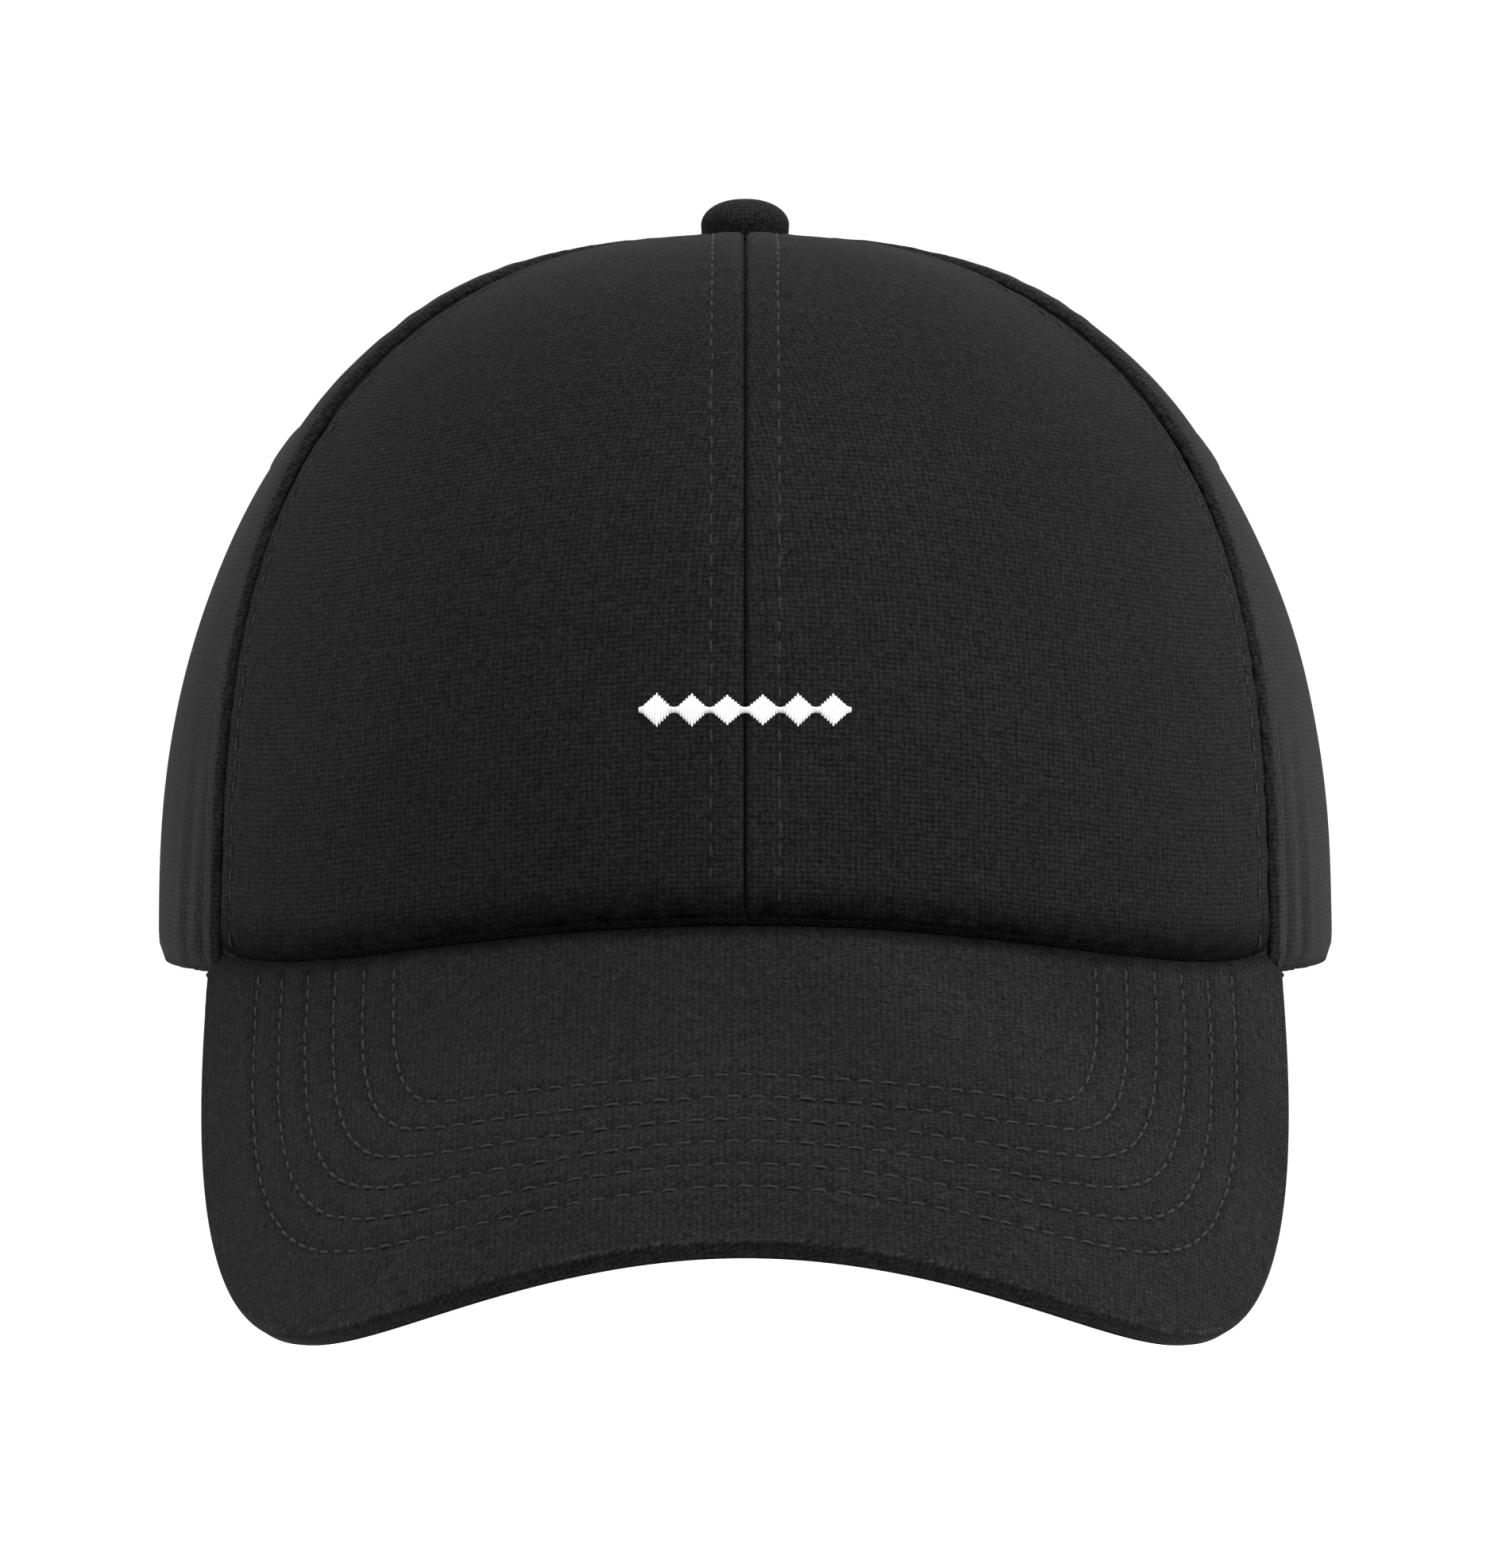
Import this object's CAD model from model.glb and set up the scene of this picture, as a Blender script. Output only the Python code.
import bpy
import numpy as np
from bpy.props import FloatProperty, FloatVectorProperty, IntProperty, PointerProperty
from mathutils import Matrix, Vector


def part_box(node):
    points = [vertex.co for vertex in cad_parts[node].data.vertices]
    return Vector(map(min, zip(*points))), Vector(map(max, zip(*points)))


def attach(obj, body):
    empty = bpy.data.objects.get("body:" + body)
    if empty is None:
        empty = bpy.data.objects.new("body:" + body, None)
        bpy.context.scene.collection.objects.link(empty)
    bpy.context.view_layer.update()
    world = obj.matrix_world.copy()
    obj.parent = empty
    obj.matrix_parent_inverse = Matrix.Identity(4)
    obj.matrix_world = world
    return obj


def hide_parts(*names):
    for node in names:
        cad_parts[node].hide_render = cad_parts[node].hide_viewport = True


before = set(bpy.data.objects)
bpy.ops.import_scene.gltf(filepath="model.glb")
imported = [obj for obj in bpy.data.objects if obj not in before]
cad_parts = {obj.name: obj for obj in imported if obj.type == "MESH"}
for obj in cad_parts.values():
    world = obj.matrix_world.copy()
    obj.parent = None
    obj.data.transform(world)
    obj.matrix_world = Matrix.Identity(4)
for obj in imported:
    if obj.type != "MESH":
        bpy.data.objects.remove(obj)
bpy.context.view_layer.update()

# A structured six-panel cap with a curved visor, a covered button and a cloth
# back strap in a lever buckle. Shapes are worked out in millimetres, in the
# frame's axes (+Z up the crown, -Y forward over the visor, +X the wearer's left),
# and become metres when a mesh is made.

bl_info = {
    "name": "Six-panel cap",
    "version": (1, 0, 0),
    "blender": (4, 5, 0),
    "location": "3D View > Sidebar > Cap",
    "description": "Sews the cloth, stitching and trims of a cap round its packed frame",
    "category": "Add Mesh",
}

MM = 0.001
TAU = 2 * np.pi

# ---- Dimensions, in millimetres and degrees ----
# PITCH is in radians. The visor outline's spread, end, shape and flare are set here by
# themselves, and the rest are the model's.

GAP = 0.35
LAYER_GAP = 0.5
HALF_WIDTH, FRONT_DEPTH, BACK_DEPTH, HEIGHT = 86.6, 99.2, 101.0, 105.2
APEX_Y, CREST_TILT = -4.0, 0.05
FRONT_FULL, SIDE_FULL, BACK_FULL = 2.6, 2.4, 2.2
FRONT_SEAM, FRONT_SWELL, BACK_SEAM, RIM_EASE = 59.0, 5.2, 121.0, 25.0
PANEL, BUCKRAM, TAPE, TAPE_WIDTH = 1.0, 0.5, 0.4, 14.0
BUCKRAM_TOP, TAPE_TOP, APEX_HOLE = 13.0, 7.0, 3.0
SWEATBAND, BAND_HEIGHT, BAND_SETBACK = 1.2, 32.0, 3.0
PITCH = np.radians(31.4)
VISOR_SEAT, VISOR_BEND, VISOR_CONE, VISOR_REACH = 8.0, 93.6, 0.295, 68.7
VISOR_SPREAD, VISOR_END, VISOR_SHAPE, VISOR_FLARE = 2.6, -0.6, 3.12, 0.072
VISOR_COVER, VISOR_TUCK, VISOR_THICK = 0.5, 2.5, 3.1
BUTTON_RADIUS, BUTTON_HEIGHT = 6.6, 5.4
EYELET_HEIGHT, EYELET_ANGLES, EYELET_BORE, EYELET_FLANGE = 75.0, (92.0, 151.0), 2.2, 4.4
OPENING_HALF, OPENING_HEIGHT, OPENING_SHAPE = 37.0, 43.0, 2.2
BINDING, BINDING_WIDTH = 0.5, 8.0
STRAP, STRAP_LOW, STRAP_HIGH = 0.8, 2.0, 22.0
STRAP_TUCK, STRAP_TAIL, STRAP_TRAVEL, STRAP_RETURN, STRAP_LEAN = 18.1, 10.4, 10.4, 9.1, 0.055
POCKET_EASE, POCKET_ROOM = 44.0, 16.0
BUCKLE_BAR, BAR_RADIUS = 27.2, 0.7
MOTIF_HALF_WIDTH, MOTIF_HALF_HEIGHT, MOTIF_HEIGHT, MOTIF_LOZENGES = 14.2, 2.3, 37.7, 6
LABEL_ANGLES, LABEL_HEIGHTS, LABEL = (98.0, 113.0), (7.0, 29.0), 0.4

BUCKRAM_DEPTH = PANEL + LAYER_GAP
FRONT_TAPE_DEPTH = BUCKRAM_DEPTH + BUCKRAM + LAYER_GAP
TAPE_DEPTH = PANEL + LAYER_GAP
BAND_DEPTH = FRONT_TAPE_DEPTH + TAPE + LAYER_GAP


# ---- Arithmetic on whole arrays ----

def mix(a, b, k):
    """a plus the share k of the way from a to b."""
    return a + (b - a) * k


def smooth(k):
    """k held from 0 to 1, then 3 of its square less 2 of its cube."""
    k = np.clip(k, 0, 1)
    return k * k * (3 - 2 * k)


def ridge(x, place, width):
    """A bell of height 1 at place, falling off over width."""
    return np.exp(-(((x - place) / width) ** 2))


def signed_power(value, power):
    """The size of value to the power, with its sign kept."""
    return np.sign(value) * np.abs(value) ** power


def unit(v):
    """Each vector divided by its length."""
    return v / np.maximum(np.linalg.norm(v, axis=-1, keepdims=True), 1e-12)


def waves(seed, u, v, longest, shortest, count=9):
    """Sum of count sine waves over (u, v), each in a seeded direction with a wavelength
    between shortest and longest, scaled to lie within about -1 and 1."""
    draw = np.random.default_rng(seed)
    total = np.zeros(np.broadcast(u, v).shape)
    for _ in range(count):
        length = mix(shortest, longest, draw.random())
        turn, phase = draw.random(2) * TAU
        total += np.sin(TAU * (u * np.cos(turn) + v * np.sin(turn)) / length + phase)
    return total / np.sqrt(count) / 1.4


# ---- The crown's surface ----

def mirrored(side):
    """What a point is multiplied by to lie on that side: 1 left, -1 right."""
    return np.array([side, 1, 1])


def crown_surface(angle, t):
    """Superellipse dome: the reach out from the top falls as cos(t quarter turns) to the
    power 2/n and the height rises as sin of it to the same power; n is 2.6 in front, 2.4
    at the sides and 2.2 behind. angle runs from the front towards +X."""
    angle, t = np.broadcast_arrays(np.asarray(angle, float), np.asarray(t, float))
    c = np.cos(angle)
    n = mix(SIDE_FULL, np.where(c > 0, FRONT_FULL, BACK_FULL), c * c)
    depth = np.where(c > 0, FRONT_DEPTH, BACK_DEPTH)
    climb = t * np.pi / 2
    reach = np.maximum(np.cos(climb), 0) ** (2 / n)
    x = HALF_WIDTH * np.sin(angle) * reach
    y = APEX_Y + (-depth * c - APEX_Y) * reach
    rise = np.maximum(np.sin(climb), 0)
    crest = CREST_TILT * c * np.hypot(x, y - APEX_Y) * rise**4
    return np.stack([x, y, HEIGHT * rise ** (2 / n) + crest], -1)


def crown_normal(angle, t):
    """The unit cross product of a small step round the dome and a small step up it."""
    up = crown_surface(angle, np.minimum(t + 0.004, 0.9995))
    up = up - crown_surface(angle, np.maximum(t - 0.004, 0))
    return unit(np.cross(crown_surface(angle + 0.01, t) - crown_surface(angle - 0.01, t), up))


def crown_point(angle, t, depth):
    """The dome moved inwards by depth along its own normal."""
    return crown_surface(angle, t) - crown_normal(angle, t) * np.asarray(depth)[..., None]


def spread(angle, t):
    """Millimetres along the surface for each radian of angle."""
    step = crown_surface(angle + 0.01, t) - crown_surface(angle - 0.01, t)
    return np.linalg.norm(step, axis=-1) / 0.02


def halving(low, high, too_low):
    """Forty halvings of the span between low and high, keeping the half that too_low says."""
    for _ in range(40):
        middle = (low + high) / 2
        below = too_low(middle)
        low, high = np.where(below, middle, low), np.where(below, high, middle)
    return low


def level_at(angle, height):
    angle, height = np.broadcast_arrays(np.asarray(angle, float), np.asarray(height, float))
    level = halving(np.zeros(angle.shape), np.full(angle.shape, 0.95),
                    lambda t: crown_surface(angle, t)[..., 2] < height)
    return np.where(height <= 0, 0, level)


def level_at_radius(angle, radius):
    angle, radius = np.broadcast_arrays(np.asarray(angle, float), np.asarray(radius, float))

    def wider(t):
        p = crown_surface(angle, t)
        return np.hypot(p[..., 0], p[..., 1] - APEX_Y) > radius

    return halving(np.full(angle.shape, 0.3), np.ones(angle.shape), wider)


def face_coordinates(x, height, at_back):
    """Angle and level of the surface point with a given x and height, front or back."""
    x, height = np.broadcast_arrays(np.asarray(x, float), np.asarray(height, float))
    angle = np.full(x.shape, np.pi if at_back else 0.0)
    for _ in range(12):
        t = level_at(angle, height)
        c = np.cos(angle)
        n = mix(SIDE_FULL, np.where(c > 0, FRONT_FULL, BACK_FULL), c * c)
        lean = np.arcsin(np.clip(x / (HALF_WIDTH * np.cos(t * np.pi / 2) ** (2 / n)), -1, 1))
        angle = np.pi - lean if at_back else lean
    return angle, t


def front_seam(t):
    return np.radians(FRONT_SEAM + FRONT_SWELL * np.sin(np.pi * t) ** 2)


def back_seam(t):
    return np.radians(BACK_SEAM) + 0 * t


def centre_front(t):
    return 0 * t


def centre_back(t):
    return np.pi + 0 * t


# ---- The visor's surface ----

def visor_point(u, s, drop):
    """The flat pattern, u across and s forward, rolled on a cone pitched down 31.4 degrees
    whose radius is 93.6 at the crown and loses 0.295 a millimetre; drop goes below it."""
    radius = VISOR_BEND - VISOR_CONE * s
    turn = u / radius
    along = -radius * (1 - np.cos(turn)) - drop * np.cos(turn)
    y = -FRONT_DEPTH - s * np.cos(PITCH) - along * np.sin(PITCH)
    z = VISOR_SEAT - s * np.sin(PITCH) + along * np.cos(PITCH)
    return np.stack(np.broadcast_arrays((radius - drop) * np.sin(turn), y, z), -1)


def visor_pattern(x, y):
    """The pattern place under a point seen from above: forty rounds of working s from how
    far the cone has fallen away at x."""
    s = 0 * x
    for _ in range(40):
        radius = VISOR_BEND - VISOR_CONE * s
        fall = radius - np.sqrt(np.maximum(radius**2 - x**2, 1))
        s = (-FRONT_DEPTH - y + fall * np.sin(PITCH)) / np.cos(PITCH)
    return radius * np.arcsin(np.clip(x / radius, -1, 1)), s


def rim_height(angle):
    """The crown's lower edge: on the visor at the front, easing down to 0 over 25 degrees."""
    turn = np.abs(np.asarray(angle, float))
    seam = np.radians(FRONT_SEAM)
    p = crown_point(np.minimum(turn, seam), 0 * turn, PANEL + 0 * turn)
    u, s = visor_pattern(p[..., 0], p[..., 1])
    seat = np.maximum(visor_point(u, s, 0)[..., 2] + GAP, 0)
    return seat * (1 - smooth((turn - seam) / np.radians(RIM_EASE)))


def visor_corner():
    """The pattern place of the front seam's foot, plus VISOR_SPREAD across and VISOR_END
    forwards."""
    rim = crown_surface(np.radians(FRONT_SEAM), 0.0)
    u, s = visor_pattern(rim[0], rim[1])
    return u + VISOR_SPREAD, s + VISOR_END


CORNER_U, CORNER_S = visor_corner()


def outline_table():
    """The front edge on the flat pattern: a superellipse of power 3.12 with flared sides."""
    turn = np.radians(np.arange(2881) / 16 - 90)
    out = np.abs(np.cos(turn)) ** (2 / VISOR_SHAPE)
    u = CORNER_U * signed_power(np.sin(turn), 2 / VISOR_SHAPE) * (1 + VISOR_FLARE * out)
    s = mix(CORNER_S, VISOR_REACH, out)
    steps = np.hypot(np.diff(u), np.diff(s))
    along = np.concatenate([[0], np.cumsum(steps)])
    return u, s, along / along[-1] * 2 - 1, along[-1]


OUTLINE = outline_table()


def outline_at(a):
    """Point of the edge at a from -1 to 1, and its direction, smoothed over 1% of its length."""
    u, s, share, _ = OUTLINE
    du = np.interp(a + 0.008, share, u) - np.interp(a - 0.008, share, u)
    ds = np.interp(a + 0.008, share, s) - np.interp(a - 0.008, share, s)
    size = np.maximum(np.hypot(du, ds), 1e-9)
    return np.interp(a, share, u), np.interp(a, share, s), du / size, ds / size


def root_at(a, drop):
    """The visor's root: the pattern place of the rim line moved in by the tuck. For a surface
    drop below the top one, s grows by drop times the pitch's tangent and the turn's cosine."""
    rim = crown_point(np.radians(FRONT_SEAM) * a, 0 * a, VISOR_TUCK + 0 * a)
    u, s = visor_pattern(rim[..., 0], rim[..., 1])
    radius = VISOR_BEND - VISOR_CONE * s
    sine = np.clip(np.sin(u / radius) * radius / (radius - drop), -1, 1)
    return radius * np.arcsin(sine), s + drop * np.tan(PITCH) * np.cos(u / radius)


def pattern_point(a, b, inset, drop):
    """Pattern point a across and b outwards, kept inset from the front and the ends."""
    u, s, ahead, _ = outline_at(a)
    root_u, root_s = root_at(a, drop)
    narrow = 1 - inset / CORNER_U
    return mix(root_u * narrow, u * narrow, b), mix(root_s, s - inset * ahead, b)


# ---- The back strap's surface, round an upright axis behind the middle ----

STRAP_BEND = HALF_WIDTH**2 / BACK_DEPTH
STRAP_AXIS = BACK_DEPTH - STRAP_BEND
OPENING_ARC = np.arcsin(OPENING_HALF / STRAP_BEND) * STRAP_BEND
LONG_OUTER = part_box("strap_long")[1].y / MM - STRAP_AXIS + STRAP_LEAN * STRAP_LOW
LONG_INNER = LONG_OUTER - STRAP
BAR_CENTRE = LONG_INNER - GAP - STRAP - GAP - BAR_RADIUS
SHORT_INNER = BAR_CENTRE - BAR_RADIUS - GAP - STRAP


def strap_point(radius, arc, height):
    """A leaning cone: arc millimetres round from the back's centre line towards +X, its
    radius losing 0.055 for each millimetre of height."""
    r = radius - STRAP_LEAN * height
    turn = arc / STRAP_BEND
    return np.stack(np.broadcast_arrays(r * np.sin(turn), STRAP_AXIS + r * np.cos(turn), height), -1)


def band_point(angle, height, depth):
    """The crown's wall moved in behind its linings, stepping in further behind the straps."""
    p = crown_point(angle, level_at(angle, height), BAND_DEPTH + depth)
    x, y = p[..., 0], p[..., 1] - STRAP_AXIS
    arc = np.abs(np.arctan2(x, y)) * STRAP_BEND
    inside = SHORT_INNER - STRAP_LEAN * p[..., 2] - 2 * GAP - depth
    past = (arc - OPENING_ARC - STRAP_TUCK - STRAP_TRAVEL / 2) / POCKET_EASE
    limit = np.where(past < 1, inside + POCKET_ROOM * smooth(past), 1e9)
    k = np.minimum(1, limit / np.hypot(x, y))
    return np.stack([x * k, STRAP_AXIS + y * k, p[..., 2]], -1)


# ---- Meshes from arrays ----

def sides_of(grid):
    """Quads between neighbouring entries of a two-way array of vertex numbers."""
    return np.stack([grid[:-1, :-1], grid[:-1, 1:], grid[1:, 1:], grid[1:, :-1]], -1).reshape(-1, 4)


def volume(points, quads):
    """A sixth of the sum of the quads' box products: above 0 where they face outwards."""
    a, b, c, d = (points[quads[:, k]] for k in range(4))
    return (np.einsum("ij,ij", a, np.cross(b, c)) + np.einsum("ij,ij", a, np.cross(c, d))) / 6


def add_object(name, points, faces, uv, body, slot, material, replaces=(), **fields):
    """A mesh of points (in mm) and faces, with its cloth map and point fields, riding on a body."""
    mesh = bpy.data.meshes.new(name)
    mesh.from_pydata((points * MM).tolist(), [], faces)
    corners = np.zeros(len(mesh.loops), np.int32)
    mesh.loops.foreach_get("vertex_index", corners)
    layer = mesh.uv_layers.new(name="Cloth")
    layer.data.foreach_set("uv", (uv[corners] * MM).astype(np.float32).ravel())
    mesh.polygons.foreach_set("use_smooth", np.ones(len(mesh.polygons), bool))
    for field, values in fields.items():
        attribute = mesh.attributes.new(field, "FLOAT", "POINT")
        attribute.data.foreach_set("value", np.asarray(values, np.float32).ravel())
    mesh.materials.append(material)
    mesh.update()
    piece = bpy.data.objects.new(name, mesh)
    bpy.context.scene.collection.objects.link(piece)
    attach(piece, body)
    if replaces:
        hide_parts(*replaces)
    return piece


def cloth_sheet(name, outer, inner, uv, body, slot, material, replaces=(), wear=None):
    """A closed cloth: an outer and an inner grid of points that meet at the rim, so they
    share the rim's points."""
    rows, columns = outer.shape[:2]
    top = np.arange(rows * columns).reshape(rows, columns)
    under = top.copy()
    inside = (rows - 2) * (columns - 2)
    under[1:-1, 1:-1] = top.size + np.arange(inside).reshape(rows - 2, columns - 2)
    pick = (slice(1, -1), slice(1, -1))
    points = np.concatenate([outer.reshape(-1, 3), inner[pick].reshape(-1, 3)])
    quads = np.concatenate([sides_of(top), sides_of(under)[:, ::-1]])
    if volume(points, quads) < 0:
        quads = quads[:, ::-1]
    flat = np.concatenate([uv.reshape(-1, 2), uv[pick].reshape(-1, 2)])
    worn = np.zeros((rows, columns)) if wear is None else wear
    worn = np.concatenate([worn.ravel(), worn[pick].ravel()])
    return add_object(name, points, quads.tolist(), flat, body, slot, material, replaces, wear=worn)


def roll(distance, radius):
    """The quarter-round of a folded edge: 0 at the edge, 1 from radius inwards."""
    return np.sqrt(np.maximum(1 - (1 - np.clip(distance / radius, 0, 1)) ** 2, 0))


def close_rim(fold):
    """The rim of the thickness set to 0, so that both faces meet there."""
    fold[0], fold[-1], fold[:, 0], fold[:, -1] = 0, 0, 0, 0


def edged(length, count, margin, fine):
    """count + 1 places from 0 to length, crowded so that fine of them lie within margin of
    each end and closest together at the very edge. length may be an array."""
    length = np.asarray(length, float)[..., None]
    near = np.minimum(margin, length * 0.4)
    k = np.arange(fine + 1) / fine
    start = near * k**1.6
    middle = mix(near, length - near, np.arange(1, count - 2 * fine) / (count - 2 * fine))
    return np.concatenate([start, middle, length - start[..., ::-1]], -1)


def tube_loop(name, rings, uv, body, slot, material, replaces=(), closed_rows=False, wear=None):
    """A surface closed round its columns, and round its rows too or else capped with a fan."""
    rows, columns = rings.shape[:2]
    grid = np.arange(rows * columns).reshape(rows, columns)
    grid = np.concatenate([grid, grid[:, :1]], 1)
    points = rings.reshape(-1, 3)
    flat = uv.reshape(-1, 2)
    worn = np.zeros(len(flat)) if wear is None else wear.ravel()
    if closed_rows:
        grid = np.concatenate([grid, grid[:1]])
    faces = sides_of(grid)
    flip = volume(points - points.mean(0), faces) < 0
    faces = (faces[:, ::-1] if flip else faces).tolist()
    if not closed_rows:
        for row, way in ((grid[0, :-1], 1), (grid[-1, :-1], -1)):
            faces.append(row[:: way if flip else -way].tolist())
    return add_object(name, points, faces, flat, body, slot, material, replaces, wear=worn)


def along_path(path, places, values=None):
    """values (or the path itself) read at distances along a path of points."""
    steps = np.linalg.norm(np.diff(path, axis=0), axis=1)
    run = np.concatenate([[0], np.cumsum(steps)])
    values = path if values is None else values
    return np.stack([np.interp(places, run, values[:, k]) for k in range(3)], -1)


def path_length(path):
    """The sum of the lengths of the path's steps."""
    return np.linalg.norm(np.diff(path, axis=0), axis=1).sum()


RING_SHARE = np.array([0.0, 0.07, 0.2, 0.4, 0.6, 0.8, 0.93, 1.0])
RING_GIRTH = np.array([0.35, 0.78, 0.98, 1.0, 1.0, 0.98, 0.78, 0.35])
RING_LIFT = np.array([-0.9, -0.35, 0.1, 0.25, 0.25, 0.1, -0.35, -0.9])


def stitch_points(path, normal, length, gap, width, seed=1, sides=6, lift=0.0):
    """Running stitches along a path lying on a surface: each is a capsule of elliptical
    rings, its girth and height over the cloth following the three tables above, so that
    both of its ends sink in. Returns points as (stitch, ring, side, 3)."""
    total = path_length(path)
    pitch = length + gap
    count = int(total // pitch)
    draw = np.random.default_rng(seed)
    start = (total - count * pitch + gap) / 2 + np.arange(count) * pitch
    start = start + draw.normal(0, gap * 0.12, count)
    size = length * (1 + draw.normal(0, 0.03, count))
    at = start[:, None] + size[:, None] * RING_SHARE
    centre = along_path(path, at)
    up = unit(along_path(path, at, normal))
    ahead = unit(along_path(path, at + 0.2) - along_path(path, at - 0.2))
    across = unit(np.cross(ahead, up))
    sway = draw.normal(0, width * 0.12, (count, 1, 1)) * across
    centre = centre + sway + up * (width * RING_LIFT + lift)[None, :, None]
    turn = np.arange(sides) / sides * TAU
    girth = (width / 2 * RING_GIRTH)[None, :, None, None]
    ring = np.cos(turn)[:, None] * across[:, :, None] + 0.8 * np.sin(turn)[:, None] * up[:, :, None]
    return centre[:, :, None] + ring * girth


def add_stitches(name, rows, body, slot, material):
    """One object from several rows of stitches, each a ring-by-ring tube with capped ends."""
    points = np.concatenate(rows)
    count, rings, sides = points.shape[:3]
    one = np.arange(rings * sides).reshape(rings, sides)
    quads = sides_of(np.concatenate([one, one[:, :1]], 1))
    if volume(points[0].reshape(-1, 3) - points[0].mean((0, 1)), quads) < 0:
        quads, ends = quads[:, ::-1], (one[0], one[-1][::-1])
    else:
        ends = (one[0][::-1], one[-1])
    step = np.arange(count)[:, None, None] * rings * sides
    faces = (quads[None] + step).reshape(-1, 4).tolist()
    for end in ends:
        faces += (end[None] + step[:, 0]).tolist()
    turn = np.broadcast_to(np.arange(sides) / sides * 1.2, (count, rings, sides))
    run = np.broadcast_to(np.linspace(0, 3, rings)[None, :, None], (count, rings, sides))
    shift = np.arange(count)[:, None, None] * 0.37
    uv = np.stack([run + shift, turn], -1).reshape(-1, 2)
    return add_object(name, points.reshape(-1, 3), faces, uv, body, slot, material)


# ---- Materials ----

class Nodes:
    """A material's node tree, with short calls that add a node and join it up."""

    def __init__(self, name):
        self.material = bpy.data.materials.new(name)
        self.material.use_nodes = True
        self.tree = self.material.node_tree
        self.shader = self.tree.nodes["Principled BSDF"]

    def put(self, target, value):
        if isinstance(value, bpy.types.NodeSocket):
            self.tree.links.new(value, target)
        elif value is not None:
            target.default_value = value

    def add(self, kind, *values, **settings):
        node = self.tree.nodes.new(kind)
        for key, value in settings.items():
            setattr(node, key, value)
        for target, value in zip(node.inputs, values):
            self.put(target, value)
        return node

    def cloth_map(self):
        """The piece's own map, in metres across and along its cloth."""
        return self.add("ShaderNodeUVMap", uv_map="Cloth").outputs[0]

    def on_body(self):
        """The place in the piece, in metres."""
        return self.add("ShaderNodeTexCoord").outputs["Object"]

    def stretched(self, place, factors):
        return self.add("ShaderNodeVectorMath", place, factors, operation="MULTIPLY").outputs[0]

    def math(self, operation, *values):
        return self.add("ShaderNodeMath", *values, operation=operation).outputs[0]

    def noise(self, place, scale, detail=2.0, rough=0.5):
        node = self.add("ShaderNodeTexNoise")
        self.put(node.inputs["Vector"], place)
        node.inputs["Scale"].default_value = scale
        node.inputs["Detail"].default_value = detail
        node.inputs["Roughness"].default_value = rough
        return node.outputs["Fac"]

    def ramp(self, value, low, high, to_low=0.0, to_high=1.0):
        node = self.add("ShaderNodeMapRange", value, low, high, to_low, to_high)
        node.clamp = True
        return node.outputs[0]

    def tint(self, colour, factor):
        """colour with its brightness multiplied by factor."""
        node = self.add("ShaderNodeHueSaturation")
        node.inputs["Color"].default_value = colour
        self.put(node.inputs["Value"], factor)
        return node.outputs["Color"]

    def bump(self, height, distance, strength=1.0):
        node = self.add("ShaderNodeBump")
        node.inputs["Strength"].default_value = strength
        node.inputs["Distance"].default_value = distance
        self.put(node.inputs["Height"], height)
        return node.outputs[0]

    def finish(self, **sockets):
        for key, value in sockets.items():
            self.put(self.shader.inputs[key.replace("_", " ")], value)
        return self.material


def linear(colour):
    """The colour as a four-part value."""
    return (*colour, 1.0)


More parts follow.
